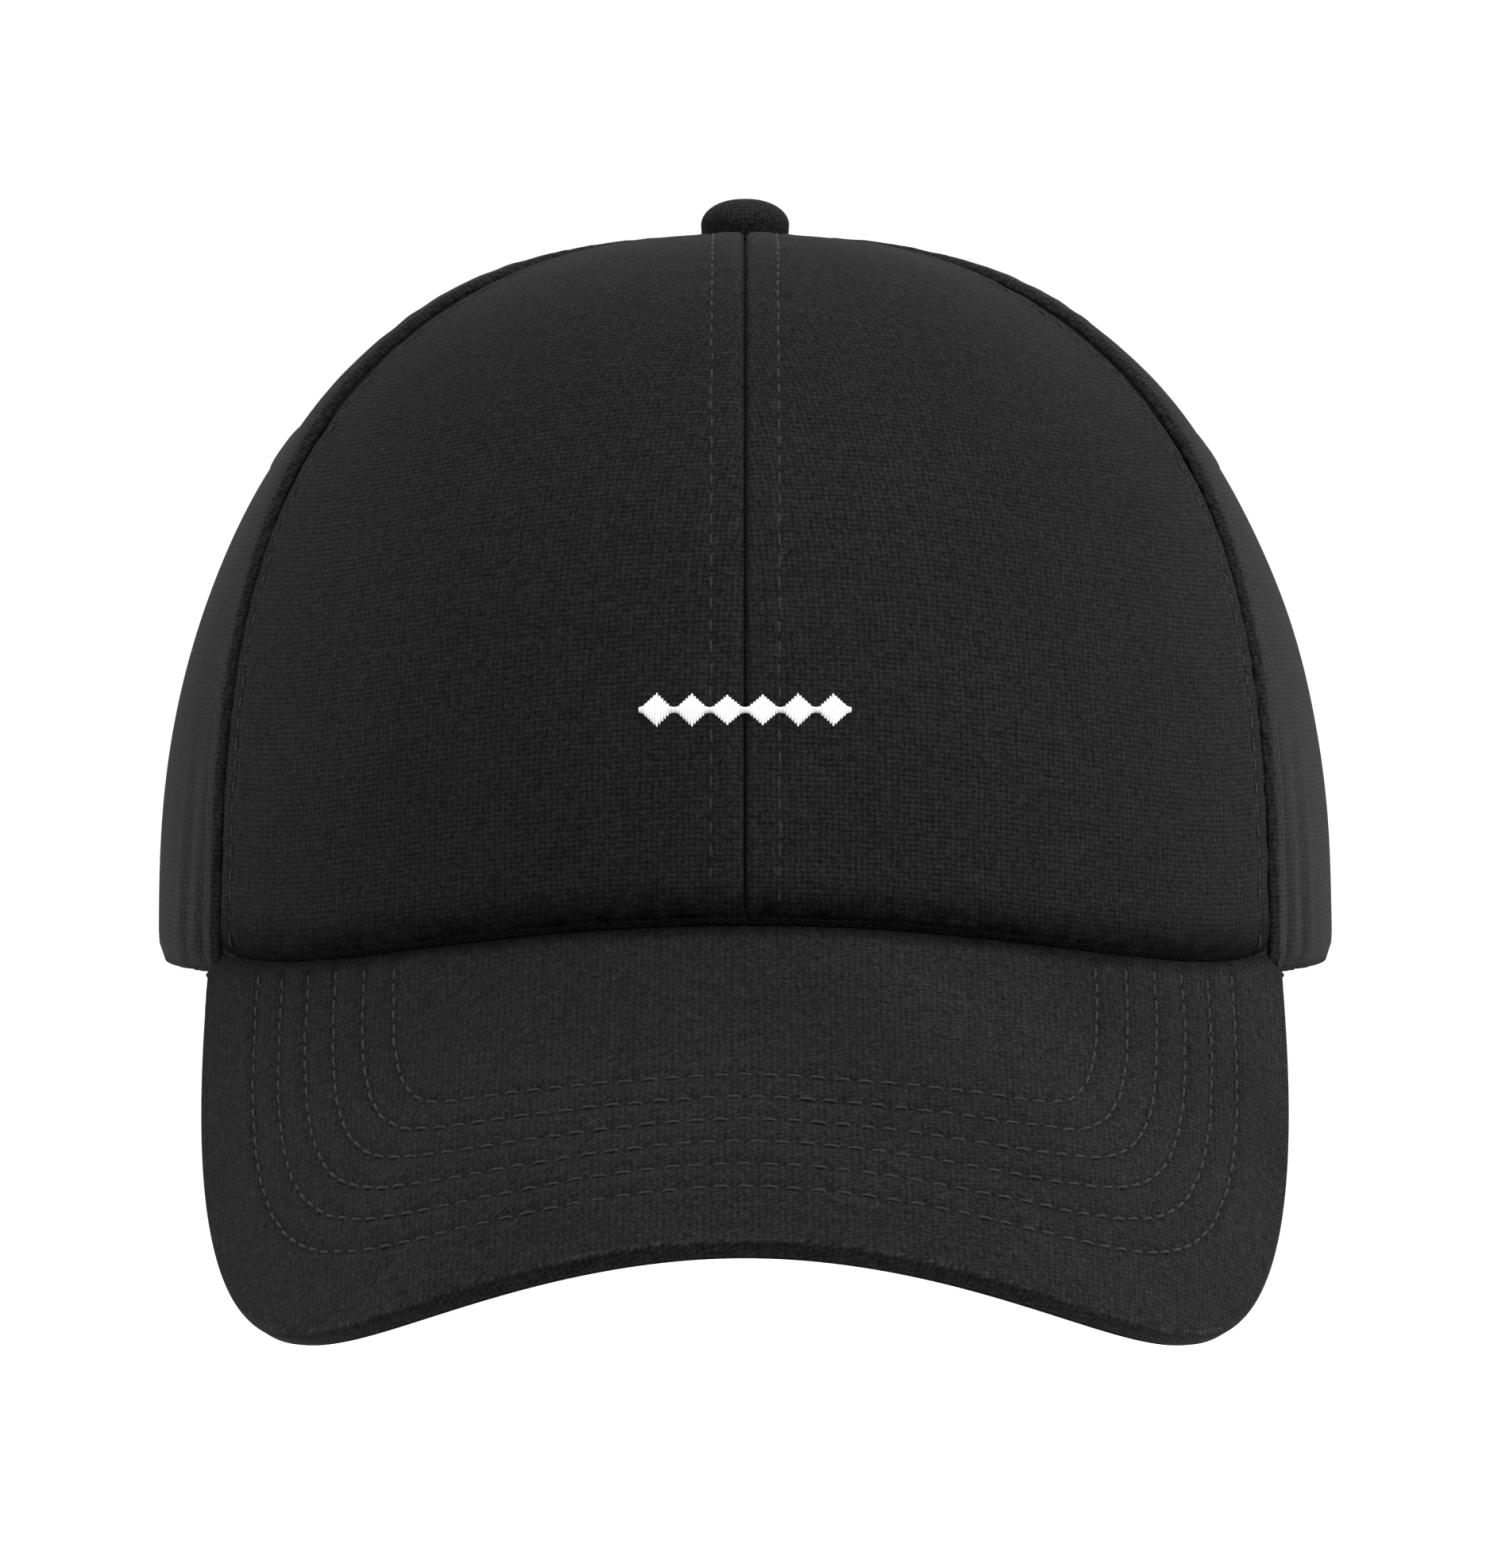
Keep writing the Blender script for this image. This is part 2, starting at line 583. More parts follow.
def woven(name, colour, across, along, depth=0.00012, contrast=0.75, sheen=0.015, twill=False, slubs=0.3):
    """Yarns of a plain weave (or a twill, whose crossings step sideways row by row): each
    yarn is a half sine, and whichever of the two yarns is over at a crossing stands up.
    Slubs thicken some yarns, long soft noise fades the dye, and wear bares the high yarns."""
    n = Nodes(name)
    place = n.cloth_map()
    body = n.on_body()
    wobble = n.noise(place, 420.0, 2.0)
    split = n.add("ShaderNodeSeparateXYZ", place)
    sway = n.math("MULTIPLY", n.math("SUBTRACT", wobble, 0.5), 0.9)
    warp = n.math("ADD", n.math("DIVIDE", split.outputs[0], across * MM), sway)
    weft = n.math("ADD", n.math("DIVIDE", split.outputs[1], along * MM), sway)
    if twill:
        weft = n.math("ADD", weft, n.math("MULTIPLY", warp, 0.5))
    ribs_a = n.math("ABSOLUTE", n.math("SINE", n.math("MULTIPLY", warp, np.pi)))
    ribs_b = n.math("ABSOLUTE", n.math("SINE", n.math("MULTIPLY", weft, np.pi)))
    cross = n.math("MULTIPLY", n.math("SINE", n.math("MULTIPLY", warp, np.pi)),
                   n.math("SINE", n.math("MULTIPLY", weft, np.pi)))
    over = n.ramp(cross, -0.35, 0.35)
    yarn_a = n.math("MULTIPLY", ribs_a, over)
    yarn_b = n.math("MULTIPLY", ribs_b, n.math("SUBTRACT", 1.15, over))
    height = n.math("MULTIPLY", n.math("MAXIMUM", yarn_a, yarn_b), 0.55 if twill else 0.9)
    grain = n.noise(body, 2000.0, 3.0, 0.65)
    slub = n.noise(n.stretched(place, (90.0, 700.0, 1.0)), 1.0, 2.0)
    tall = n.math("ADD", n.math("ADD", height, n.math("MULTIPLY", grain, 1.9)),
                  n.math("MULTIPLY", slub, slubs))
    fade = n.noise(body, 24.0, 4.0, 0.6)
    worn = n.add("ShaderNodeAttribute", attribute_name="wear", attribute_type="GEOMETRY").outputs["Fac"]
    lint = n.ramp(n.noise(body, 900.0, 3.0, 0.7), 0.62, 0.8, 0.0, 0.35)
    shade = n.math("ADD", n.ramp(tall, 0.75, 1.95, 1 - contrast, 1 + contrast), lint)
    shade = n.math("MULTIPLY", shade, n.ramp(fade, 0.3, 0.7, 0.9, 1.1))
    speck = n.ramp(n.noise(body, 1300.0, 2.0, 0.8), 0.34, 0.66, 0.62, 1.4)
    shade = n.math("MULTIPLY", shade, speck)
    patchy = n.math("MULTIPLY", worn, n.ramp(n.noise(body, 420.0, 3.0, 0.7), 0.3, 0.75, 0.45, 1.4))
    shade = n.math("MULTIPLY", shade, n.math("ADD", 1.0, patchy))
    bump = n.bump(tall, depth)
    return n.finish(
        Base_Color=n.tint(linear(colour), shade), Roughness=n.ramp(tall, 0.3, 1.6, 0.98, 0.86),
        Specular_IOR_Level=0.02, Sheen_Weight=sheen, Sheen_Roughness=0.45,
        Sheen_Tint=(0.9, 0.9, 0.92, 1.0), Normal=bump)


def spun(name, colour, gloss=0.7, sheen=0.03, lay=0.42):
    """Thread: two plies laid up as slanting ridges along and round it, and stray fibres."""
    n = Nodes(name)
    split = n.add("ShaderNodeSeparateXYZ", n.cloth_map())
    slant = n.math("ADD", n.math("DIVIDE", split.outputs[0], lay * MM),
                   n.math("DIVIDE", split.outputs[1], 0.6 * MM))
    ply = n.math("ABSOLUTE", n.math("SINE", n.math("MULTIPLY", slant, np.pi)))
    fibre = n.noise(n.on_body(), 5200.0, 2.0, 0.6)
    tall = n.math("ADD", ply, n.math("MULTIPLY", fibre, 0.5))
    return n.finish(
        Base_Color=n.tint(linear(colour), n.ramp(tall, 0.1, 1.4, 0.68, 1.15)), Roughness=gloss,
        Specular_IOR_Level=0.12, Sheen_Weight=sheen, Sheen_Roughness=0.4, Normal=n.bump(tall, 0.00007))


def stiffened(name, colour, pitch):
    """Buckram: an open scrim set in size. Square holes show darker between glazed yarns."""
    n = Nodes(name)
    split = n.add("ShaderNodeSeparateXYZ", n.cloth_map())
    a = n.math("ABSOLUTE", n.math("SINE", n.math("MULTIPLY", split.outputs[0], np.pi / (pitch * MM))))
    b = n.math("ABSOLUTE", n.math("SINE", n.math("MULTIPLY", split.outputs[1], np.pi / (pitch * MM))))
    hole = n.math("MULTIPLY", a, b)
    body = n.on_body()
    size = n.noise(body, 700.0, 3.0, 0.6)
    tall = n.math("SUBTRACT", n.math("MULTIPLY", size, 0.5), n.ramp(hole, 0.35, 0.7))
    return n.finish(
        Base_Color=n.tint(linear(colour), n.ramp(tall, -0.9, 0.4, 0.35, 1.2)),
        Roughness=n.ramp(size, 0.3, 0.7, 0.5, 0.75), Specular_IOR_Level=0.3, Normal=n.bump(tall, 0.0002))


def metal(name, colour, rough, streak, tarnish):
    """Plated metal: fine brushing along the height, darker tarnish in soft patches, and
    small dents; the edges' wear comes from the pointiness of the shape."""
    n = Nodes(name)
    geometry = n.add("ShaderNodeNewGeometry")
    body = n.on_body()
    brushed = n.stretched(body, streak)
    lines = n.noise(brushed, 1.0, 4.0, 0.7)
    patch = n.noise(body, 160.0, 5.0, 0.65)
    edge = n.ramp(geometry.outputs["Pointiness"], 0.5, 0.6, 0.0, 0.6)
    shade = n.math("ADD", n.ramp(patch, 0.35, 0.65, 1 - tarnish, 1.05), edge)
    return n.finish(
        Base_Color=n.tint(linear(colour), n.math("MULTIPLY", shade, n.ramp(lines, 0.3, 0.7, 0.88, 1.12))),
        Metallic=1.0, Roughness=n.ramp(n.math("ADD", lines, patch), 0.6, 1.4, rough, rough + 0.22),
        Normal=n.bump(n.math("ADD", lines, n.math("MULTIPLY", patch, 0.5)), 0.00004))


def moulded(name, colour):
    """Matt moulded sheet with a fine pebble and faint flow marks."""
    n = Nodes(name)
    body = n.on_body()
    pebble = n.noise(body, 1500.0, 3.0, 0.6)
    flow = n.noise(n.stretched(body, (20.0, 90.0, 20.0)), 1.0, 3.0)
    return n.finish(Base_Color=n.tint(linear(colour), n.ramp(flow, 0.3, 0.7, 0.93, 1.04)),
                    Roughness=n.ramp(pebble, 0.3, 0.7, 0.5, 0.68), Normal=n.bump(pebble, 0.00003))


MATERIALS = {}


def prepare_materials(colours):
    """Every finish of the cap, by name."""
    MATERIALS.update(
        crown=woven("crown canvas", colours.crown, 0.86, 0.72),
        crown_soft=woven("crown canvas, unlined", colours.crown, 0.86, 0.72, sheen=0.038),
        visor=woven("visor canvas", colours.visor, 0.86, 0.8, contrast=0.8, twill=True),
        button=woven("button cloth", colours.crown, 0.8, 0.72),
        tape=woven("seam tape", colours.lining, 0.5, 0.5, contrast=0.25),
        sweatband=woven("sweatband twill", colours.lining, 0.7, 0.6, contrast=0.3, twill=True),
        strap=woven("strap cloth", colours.crown, 0.8, 0.72),
        thread=spun("seam thread", colours.thread),
        visor_thread=spun("visor thread", colours.visor_thread),
        eyelet=spun("eyelet thread", colours.thread, lay=0.3),
        motif=spun("motif thread", colours.motif, gloss=0.45, sheen=0.1, lay=0.3),
        label=woven("label ribbon", colours.label, 0.24, 0.2, depth=0.00004, contrast=0.06, sheen=0.1),
        buckram=stiffened("buckram", colours.buckram, 0.9),
        buckle=metal("antique plating", colours.buckle, 0.3, (40.0, 40.0, 2500.0), 0.35),
        steel=metal("plated steel", colours.steel, 0.24, (900.0, 900.0, 60.0), 0.12),
        board=moulded("visor board", colours.board),
    )


# ---- Crown cloth ----

def seam_relief(x, row, lift, dip):
    """Height of the cloth x millimetres from a seam: raised by lift over the allowance turned
    under it, pulled down by dip along the stitch row, and level beyond."""
    turned = lift * smooth(x / 1.1) * (1 - smooth((x - row + 0.3) / 1.1))
    return turned - dip * ridge(x, row, 0.55) + 0.4 * dip * ridge(x, row + 1.5, 0.8)


FOOT_ROWS, FOOT_REACH = 0.06, 0.03


def crowded_foot(k):
    """Shares of the climb for row shares k: the first 6% of the rows ease over the lowest
    3% of the climb, by a parabola, and the rest run evenly."""
    first = (1 - (1 - np.minimum(k / FOOT_ROWS, 1)) ** 2) * FOOT_REACH
    return first + np.maximum(k - FOOT_ROWS, 0) / (1 - FOOT_ROWS) * (1 - FOOT_REACH)


def crown_grid(seam_a, seam_b, low_at, top_radius, columns, rows, margin=6.5, fine=12):
    """Angles and levels over a panel whose columns keep their distance in millimetres from
    the two seams, with the width there and the distances from both seams and the rim."""
    share = np.linspace(0, 1, columns + 1)[None, :] + np.zeros((rows + 1, 1))
    k = np.linspace(0, 1, rows + 1)
    climb = crowded_foot(k)[:, None] + 0 * share
    for _ in range(3):
        foot = mix(seam_a(0 * share), seam_b(0 * share), share)
        low = level_at(foot, low_at(foot))

        def across(t):
            a = seam_a(t) + GAP / 2 / spread(seam_a(t), t)
            b = seam_b(t) - GAP / 2 / spread(seam_b(t), t)
            return mix(a, b, share), b - a

        top = level_at_radius(across(0.9 + 0 * share)[0], top_radius)
        t = mix(low, top, climb)
        angle, wide = across(t)
        width = (wide * spread(angle, t)).mean(1)
        share = edged(width, columns, margin, fine) / width[:, None]
    points = crown_surface(angle, t)
    rise = np.linalg.norm(np.diff(points, axis=0), axis=2)
    above = np.concatenate([np.zeros((1, columns + 1)), np.cumsum(rise, 0)])
    return angle, t, share * width[:, None], (1 - share) * width[:, None], above


def crown_panel(name, seam_a, seam_b, low_at, side, relief, seed, look, body_wave, node):
    """One panel: its dome moved out by the relief of both seams, soft waves in the cloth and
    a quarter-round at every edge."""
    angle, t, near_a, near_b, above = crown_grid(seam_a, seam_b, low_at, APEX_HOLE, 96, 132)
    u, v = (near_a - near_b) / 2, above
    pucker = waves(seed, 0.15 * u, v, 7.5, 3.5, 7)
    height = seam_relief(near_a, relief["row_a"], relief["lift_a"], relief["dip"])
    height += seam_relief(near_b, relief["row_b"], relief["lift_b"], relief["dip"])
    height += 0.09 * pucker * (ridge(near_a, 4.0, 4.5) + ridge(near_b, 4.0, 4.5))
    height += body_wave * waves(seed + 1, u, v, 75.0, 28.0) * smooth(np.minimum(near_a, near_b) / 14)
    height += 0.14 * waves(seed + 7, 0 * u, v, 3.2,
                           1.9) * (ridge(near_a, 0.4, 0.8) + ridge(near_b, 0.4, 0.8))
    height += relief["extra"](near_a, near_b, above, angle)
    height *= smooth((1 - t) / 0.06)
    fold = roll(near_a, 0.7) * roll(near_b, 0.7) * roll(above, 0.9) * roll(above[-1] - above, 0.7)
    middle = PANEL / 2 - height
    outer = crown_point(angle, t, middle - PANEL / 2 * fold)
    inner = crown_point(angle, t, middle + PANEL / 2 * fold)
    flip = mirrored(side)
    soil = relief["soil"]
    wear = -soil * (1 - smooth(above / 8.0)) + 0.2 * (1 - soil) * ridge(above, 1.2, 1.0)
    wear = wear - 0.5 * soil * (1 - smooth(above / 2.0))
    wear = wear + relief["edge_a"] * ridge(near_a, 1.1, 0.7) + relief["edge_b"] * ridge(near_b, 1.1, 0.7)
    wear = wear + 0.22 * np.clip(pucker, 0, 1) * (ridge(near_a, 4.6, 1.2) + ridge(near_b, 4.6, 1.2))
    uv = np.stack([u * side, v], -1)
    return cloth_sheet(name, outer * flip, inner * flip, uv, "cap", "crown_cloth", MATERIALS[look],
                       (node,), wear)


def level_rim(angle):
    """The side panels' lower edge lies in the plane of the head opening all the way."""
    return 0 * angle


def side_gathers(near_a, near_b, above, angle):
    """Folds that fan up from where the visor's end pulls the side panel, and the rim's
    turned edge drawing in below."""
    low = 1 - smooth(above / 17)
    fold = np.cos(TAU * (near_a - 0.10 * above) / 3.9 + 1.0) * ridge(near_a, 9.5, 4.6)
    drape = 0.35 * np.cos(TAU * (near_a + 0.05 * above) / 9.0) * ridge(near_a, 12,
        10) * (1 - smooth(above / 48))
    reach = 1 - smooth((np.degrees(angle) - 66) / 12)
    fuller = 1.3 * ridge(near_a, 7.0, 9.0) * smooth((above - 50) / 45) * (1 - smooth((above - 105) / 30))
    return fuller + (0.32 * fold * low + drape) * reach - 0.45 * (1
        - smooth(above / 3.6)) * smooth(near_a / 7)


def front_foot(near_a, near_b, above, angle):
    """The front cloth turns in to the visor seam and swells just above it, and it sinks
    towards its seam with the side panel."""
    low, side = 0.5 * (1 - smooth(above / 3.0)), 0.4 * (1 - smooth(near_b / 2.2))
    return 0.14 * ridge(above, 4.5, 2.0) - np.maximum(1.5 * low, side)


def arch_point(turn, grow):
    """The back opening: a superellipse arch from one foot to the other, grown
    by grow, found on the dome."""
    x = (OPENING_HALF + grow) * signed_power(np.cos(turn), 2 / OPENING_SHAPE)
    height = (OPENING_HEIGHT + grow) * np.maximum(np.sin(turn), 0) ** (2 / OPENING_SHAPE)
    return face_coordinates(x, height, True)


def back_panel(name, side, seed, node):
    """A back panel is a dome patch whose foot follows the rim and then climbs the arch: its
    columns run evenly along that foot and gather at the top."""
    edge = arch_point(np.zeros(1), 0.0)[0][0]
    flat = mix(np.radians(BACK_SEAM), edge, edged(34.0, 26, 6.5, 8)[:-1] / 34.0)
    turn = np.pi / 2 * np.linspace(0, 1, 71) ** 1.15
    arch_angle, arch_level = arch_point(turn, 0.0)
    foot = np.concatenate([flat, arch_angle])
    low = np.concatenate([0 * flat, arch_level])
    share = (foot - np.radians(BACK_SEAM)) / (np.pi - np.radians(BACK_SEAM))
    k = np.linspace(0, 1, 121)[:, None]
    climb = crowded_foot(k)
    share = share[None, :] + 0 * k

    def across(t):
        a = back_seam(t) + GAP / 2 / spread(back_seam(t), t)
        b = centre_back(t) - GAP / 2 / spread(centre_back(t), t)
        return mix(a, b, share)

    t = mix(low[None, :], level_at_radius(across(0.9 + 0 * share), APEX_HOLE), climb)
    angle = across(t)
    step = np.linalg.norm(np.diff(crown_surface(angle, t), axis=1), axis=2)
    run = np.concatenate([np.zeros((len(k), 1)), np.cumsum(step, 1)], 1)
    near_a = (angle - back_seam(t)) * spread(angle, t)
    near_b = (centre_back(t) - angle) * spread(angle, t)
    rise = np.linalg.norm(np.diff(crown_surface(angle, t), axis=0), axis=2)
    above = np.concatenate([np.zeros((1, share.shape[1])), np.cumsum(rise, 0)])
    climbed = above + crown_surface(foot, low)[:, 2][None, :]
    line = crown_surface(*arch_point(np.linspace(0, np.pi / 2, 240), 0.0))
    line = np.concatenate([crown_surface(np.linspace(np.radians(BACK_SEAM), edge, 60), 0.0), line])
    points = crown_surface(angle, t)
    from_edge = np.full(t.shape, 1e9)
    for part in np.array_split(line, 30):
        gap = np.linalg.norm(points[:, :, None] - part[None, None], axis=-1)
        from_edge = np.minimum(from_edge, gap.min(2))
    height = seam_relief(near_a, 4.6, 0.3, 0.26) + seam_relief(near_b, 4.6, 0.3, 0.26)
    near_arch = smooth((crown_surface(foot, low)[:, 2] - 1) / 6)[None, :]
    height += (seam_relief(from_edge, 6.6, 0.25, 0.22) - 0.15 * ridge(from_edge, 1.8, 0.5)) * near_arch
    height += 0.35 * waves(seed, near_a, climbed, 70.0, 26.0) * smooth(
        np.minimum(np.minimum(near_a, near_b), from_edge) / 20)
    height += 0.08 * waves(seed + 1, 0.2 * near_a, climbed, 8.0,
                           3.5) * (ridge(near_a, 4, 4) + ridge(near_b, 4, 4))
    height *= smooth((1 - t) / 0.06)
    fold = roll(near_a, 0.9) * roll(run[:, -1:] - run, 0.9) * roll(from_edge,
        0.9) * roll(above[-1] - above, 0.7)
    close_rim(fold)
    middle = PANEL / 2 - height
    outer = crown_point(angle, t, middle - PANEL / 2 * fold)
    inner = crown_point(angle, t, middle + PANEL / 2 * fold)
    flip = mirrored(side)
    wear = 0.25 * ridge(from_edge, 0.6, 0.8) + 0.2 * (ridge(near_a, 1, 0.7) + ridge(near_b, 1, 0.7))
    uv = np.stack([(near_a - near_b) / 2 * side, climbed], -1)
    return cloth_sheet(name, outer * flip, inner * flip, uv, "cap", "crown_cloth", MATERIALS["crown_soft"],
                       (node,), wear)


def eyelet_axes(angle, side):
    """An eyelet's middle on the dome, the dome's normal there, and two directions square
    to it and to each other, the first of them level."""
    t = level_at(np.radians(angle), EYELET_HEIGHT)
    place = crown_surface(np.radians(angle), t) * mirrored(side)
    normal = crown_normal(np.radians(angle), t) * mirrored(side)
    one = unit(np.cross(normal, [0, 0, 1.0]))
    return place, normal, one, np.cross(normal, one)


def applied_mesh(piece):
    """The piece's mesh with its modifiers applied, and none left on the piece."""
    bpy.context.view_layer.update()
    graph = bpy.context.evaluated_depsgraph_get()
    made = bpy.data.meshes.new_from_object(piece.evaluated_get(graph))
    piece.modifiers.clear()
    return made


def pierce(piece, angle, side, radius):
    """Cuts an eyelet's hole through a panel with a round cutter, and keeps the result."""
    place, normal, one, two = eyelet_axes(angle, side)
    turn = np.arange(32) / 32 * TAU
    ring = radius * (np.cos(turn)[:, None] * one + np.sin(turn)[:, None] * two)
    points = np.concatenate([place + ring - 5 * normal, place + ring + 5 * normal])
    grid = np.arange(64).reshape(2, 32)
    quads = sides_of(np.concatenate([grid, grid[:, :1]], 1))
    flat = volume(points - place, quads) < 0
    quads = quads[:, ::-1] if flat else quads
    ends = [grid[0].tolist(), grid[1][::-1].tolist()]
    ends = [end[::-1] for end in ends] if not flat else ends
    mesh = bpy.data.meshes.new("punch")
    mesh.from_pydata((points * MM).tolist(), [], quads.tolist() + ends)
    punch = bpy.data.objects.new("punch", mesh)
    bpy.context.scene.collection.objects.link(punch)
    cut = piece.modifiers.new("Eyelet hole", "BOOLEAN")
    cut.object, cut.solver = punch, "EXACT"
    result = applied_mesh(piece)
    result.name = piece.name
    piece.data = result
    bpy.data.objects.remove(punch)


def seam_row(seam, offset, low, height, depth=0.0, top=5.2, count=260):
    """A line beside a seam: offset millimetres from it, from a low height up to the button."""
    k = np.linspace(0, 1, count)
    first = level_at(seam(np.zeros(1)), low)[0]
    last = level_at_radius(seam(np.full(1, 0.9)), top)[0]
    t = mix(first, last, k)
    reach = np.minimum(np.abs(offset), 0.42 * spread(seam(t), t) * np.radians(60)) * np.sign(offset)
    angle = seam(t) + reach / spread(seam(t), t)
    return crown_point(angle, t, depth - height), crown_normal(angle, t)


def mirrored_row(row, side):
    """A row's points and normals put on that side."""
    flip = mirrored(side)
    return row[0] * flip, row[1] * flip


def strip(seam, low, top_radius, wide, depth, thick, columns, rows, relief):
    """A tape laid along a seam: its width in millimetres is kept until the crown narrows."""
    first = level_at(seam(np.zeros(1)), low)[0]
    last = level_at_radius(seam(np.full(1, 0.9)), top_radius)[0]
    k = edged(100.0, rows, 2.0, 4)[:, None] / 100.0
    t = mix(first, last, k)
    half = np.minimum(wide / 2 / spread(seam(t), t), np.radians(27.5))
    share = (edged(wide, columns, 1.2, 4) / wide * 2 - 1)[None, :]
    angle = seam(t) + half * share
    t = t + 0 * angle
    x = share * half * spread(seam(t), t)
    rise = np.linalg.norm(np.diff(crown_surface(angle, t), axis=0), axis=2)
    above = np.concatenate([np.zeros((1, angle.shape[1])), np.cumsum(rise, 0)])
    edge = (half * spread(seam(t), t)) - np.abs(x)
    fold = roll(edge, thick * 0.6) * roll(above, thick * 0.6) * roll(above[-1] - above, thick * 0.6)
    close_rim(fold)
    middle = depth + thick / 2 + relief(x, above)
    outer = crown_point(angle, t, middle - thick / 2 * fold)
    inner = crown_point(angle, t, middle + thick / 2 * fold)
    return outer, inner, np.stack([x, above], -1)


def allowance_relief(x, above):
    """The turned edges lie flat."""
    return 0 * x


ROW_CLEARANCE = 0.985  # share of the rim ellipse, squared, at which a visor row starts


def tape_relief(x, above):
    """Drawn towards the crown along both stitch rows, and proud between them."""
    return 0.10 * (ridge(np.abs(x), 0, 2.4)) - 0.12 * ridge(np.abs(x), 4.6, 0.5)


# ---- Visor cloth ----

def visor_rows(first, spacing, count):
    """The stitch rows on the flat pattern: copies of the front edge, each kept further in,
    as far as the crown's rim."""
    rows = []
    for j in range(count):
        a = np.linspace(-1, 1, 900)
        u, s = pattern_point(a, np.ones(900), first + spacing * j, 0.0)
        p = visor_point(u, s, 0.0)
        clear = (p[:, 0] / (HALF_WIDTH + 0.5)) ** 2 + (p[:, 1] / (FRONT_DEPTH + 0.5)) ** 2 > ROW_CLEARANCE
        rows.append((u[clear], s[clear]))
    return rows


def row_relief(u, s, rows, dip, width):
    """How far the cloth is drawn down at points of the pattern: a bell across each row."""
    flat = np.stack([u.ravel(), s.ravel()], -1)
    total = np.zeros(len(flat))
    for row_u, row_s in rows:
        line = np.stack([row_u, row_s], -1)[::2]
        nearest = np.full(len(flat), 1e9)
        for part in np.array_split(line, 10):
            gap = np.hypot(flat[:, None, 0] - part[None, :, 0], flat[:, None, 1] - part[None, :, 1])
            nearest = np.minimum(nearest, gap.min(1))
        total += ridge(nearest, 0, width) - 0.3 * ridge(nearest, 1.9, 1.1)
    return dip * total.reshape(u.shape)


def visor_cover(name, rows, under, node, seed):
    """The visor's upper or under cloth. The upper one is a profile of (inset, drop): flat to
    the edge, over it in a quarter round, down the board's edge and in at its foot; the
    under one is flat with a rounded edge."""
    a = edged(2.0, 214, 0.06, 8) - 1
    if under:
        b = edged(1.0, 118, 0.03, 6)
        b_rows, inset = b, np.zeros(len(b))
        drop = np.full(len(b), VISOR_THICK - VISOR_COVER / 2)
        lean = np.zeros(len(b))
    else:
        turn = np.linspace(0, np.pi / 2, 9)[1:]
        lip = np.linspace(1.1, 2.3, 5)[1:]
        b = edged(1.0, 118, 0.02, 4)
        b_rows = np.concatenate([b, np.ones(len(turn) + len(lip) + 2)])
        inset = np.concatenate([0.9 + 0 * b, 0.9 - 0.65 * np.sin(turn), 0.25 + 0 * lip, [0.32, 0.5]])
        drop = np.concatenate([0.25 + 0 * b, 0.25 + 0.85 * (1 - np.cos(turn)), lip, [2.45, 2.56]])
        lean = np.concatenate([0 * b, turn, np.pi / 2 + 0 * lip, [np.pi / 2 + 0.5, np.pi / 2 + 0.9]])
    grid_a = a[None, :] + 0 * b_rows[:, None]
    column = lambda values: values[:, None] + 0 * grid_a
    u, s = pattern_point(grid_a, column(b_rows), column(inset), 0.0)
    pull = row_relief(u, s, rows, 0.24, 0.7) * (column(lean) < 0.2)
    wave = 0.10 * waves(seed, u, s, 34.0, 12.0) + 0.05 * waves(seed + 1, u, s, 5.5, 2.4)
    wave *= smooth(column(b_rows) / 0.05)
    run = np.cumsum(np.concatenate([np.zeros((1, len(a))),
                                    np.hypot(np.diff(u, axis=0), np.diff(s, axis=0))]), 0)
    length = OUTLINE[3]
    ends = roll((1 - np.abs(grid_a)) * length / 2, 0.5)
    half = VISOR_COVER / 2 * ends
    if under:
        edge = column(b_rows)
        far = run[-1][None, :] - run
        half = half * roll(far, 0.35) * roll(run, 0.3)
        middle = column(drop) - wave * (edge < 0.995) - pull
        tops = [(column(inset) + 0.25, middle - half), (column(inset) + 0.25, middle + half)]
    else:
        rows_in = np.arange(len(b_rows))[:, None] + 0 * grid_a
        half = half * roll(run, 0.3) * np.where(rows_in > len(b_rows) - 3,
                                                (len(b_rows) - 1 - rows_in) / 2.0, 1)
        sink = column(drop) + pull - wave * (column(lean) < 0.2)
        tops = [(column(inset) - half * np.sin(column(lean)), sink - half * np.cos(column(lean))),
                (column(inset) + half * np.sin(column(lean)), sink + half * np.cos(column(lean)))]
    faces = []
    for offset, depth in tops:
        at_u, at_s = pattern_point(grid_a, column(b_rows), offset, depth)
        faces.append(visor_point(at_u, at_s, depth))
    for k in (0, -1):
        middle = (faces[0][k] + faces[1][k]) / 2
        faces[0][k], faces[1][k] = middle, middle
        middle = (faces[0][:, k] + faces[1][:, k]) / 2
        faces[0][:, k], faces[1][:, k] = middle, middle
    worn = -0.75 * (1 - smooth((run - 2.0) / 3.2)) - 1.4 * np.maximum(pull, 0)
    if not under:
        depth = column(drop)
        ragged = 0.5 + 0.5 * waves(seed + 2, u, s, 3.0, 1.0)
        worn = worn + 1.3 * ridge(column(lean), 0.4, 0.35) * ragged - 0.30 * (column(lean) > 0.9)
        worn = worn + 0.25 * ridge(depth, 2.5, 0.25) + 0.12 * np.clip(waves(seed + 3, u, s, 60.0, 20.0),
            -1, 1)
    uv = np.stack([u, np.where(column(lean) > 0, s + column(drop), s)], -1)
    return cloth_sheet(name, faces[0], faces[1], uv, "cap", "visor_cloth", MATERIALS["visor"], (node,),
                       worn)


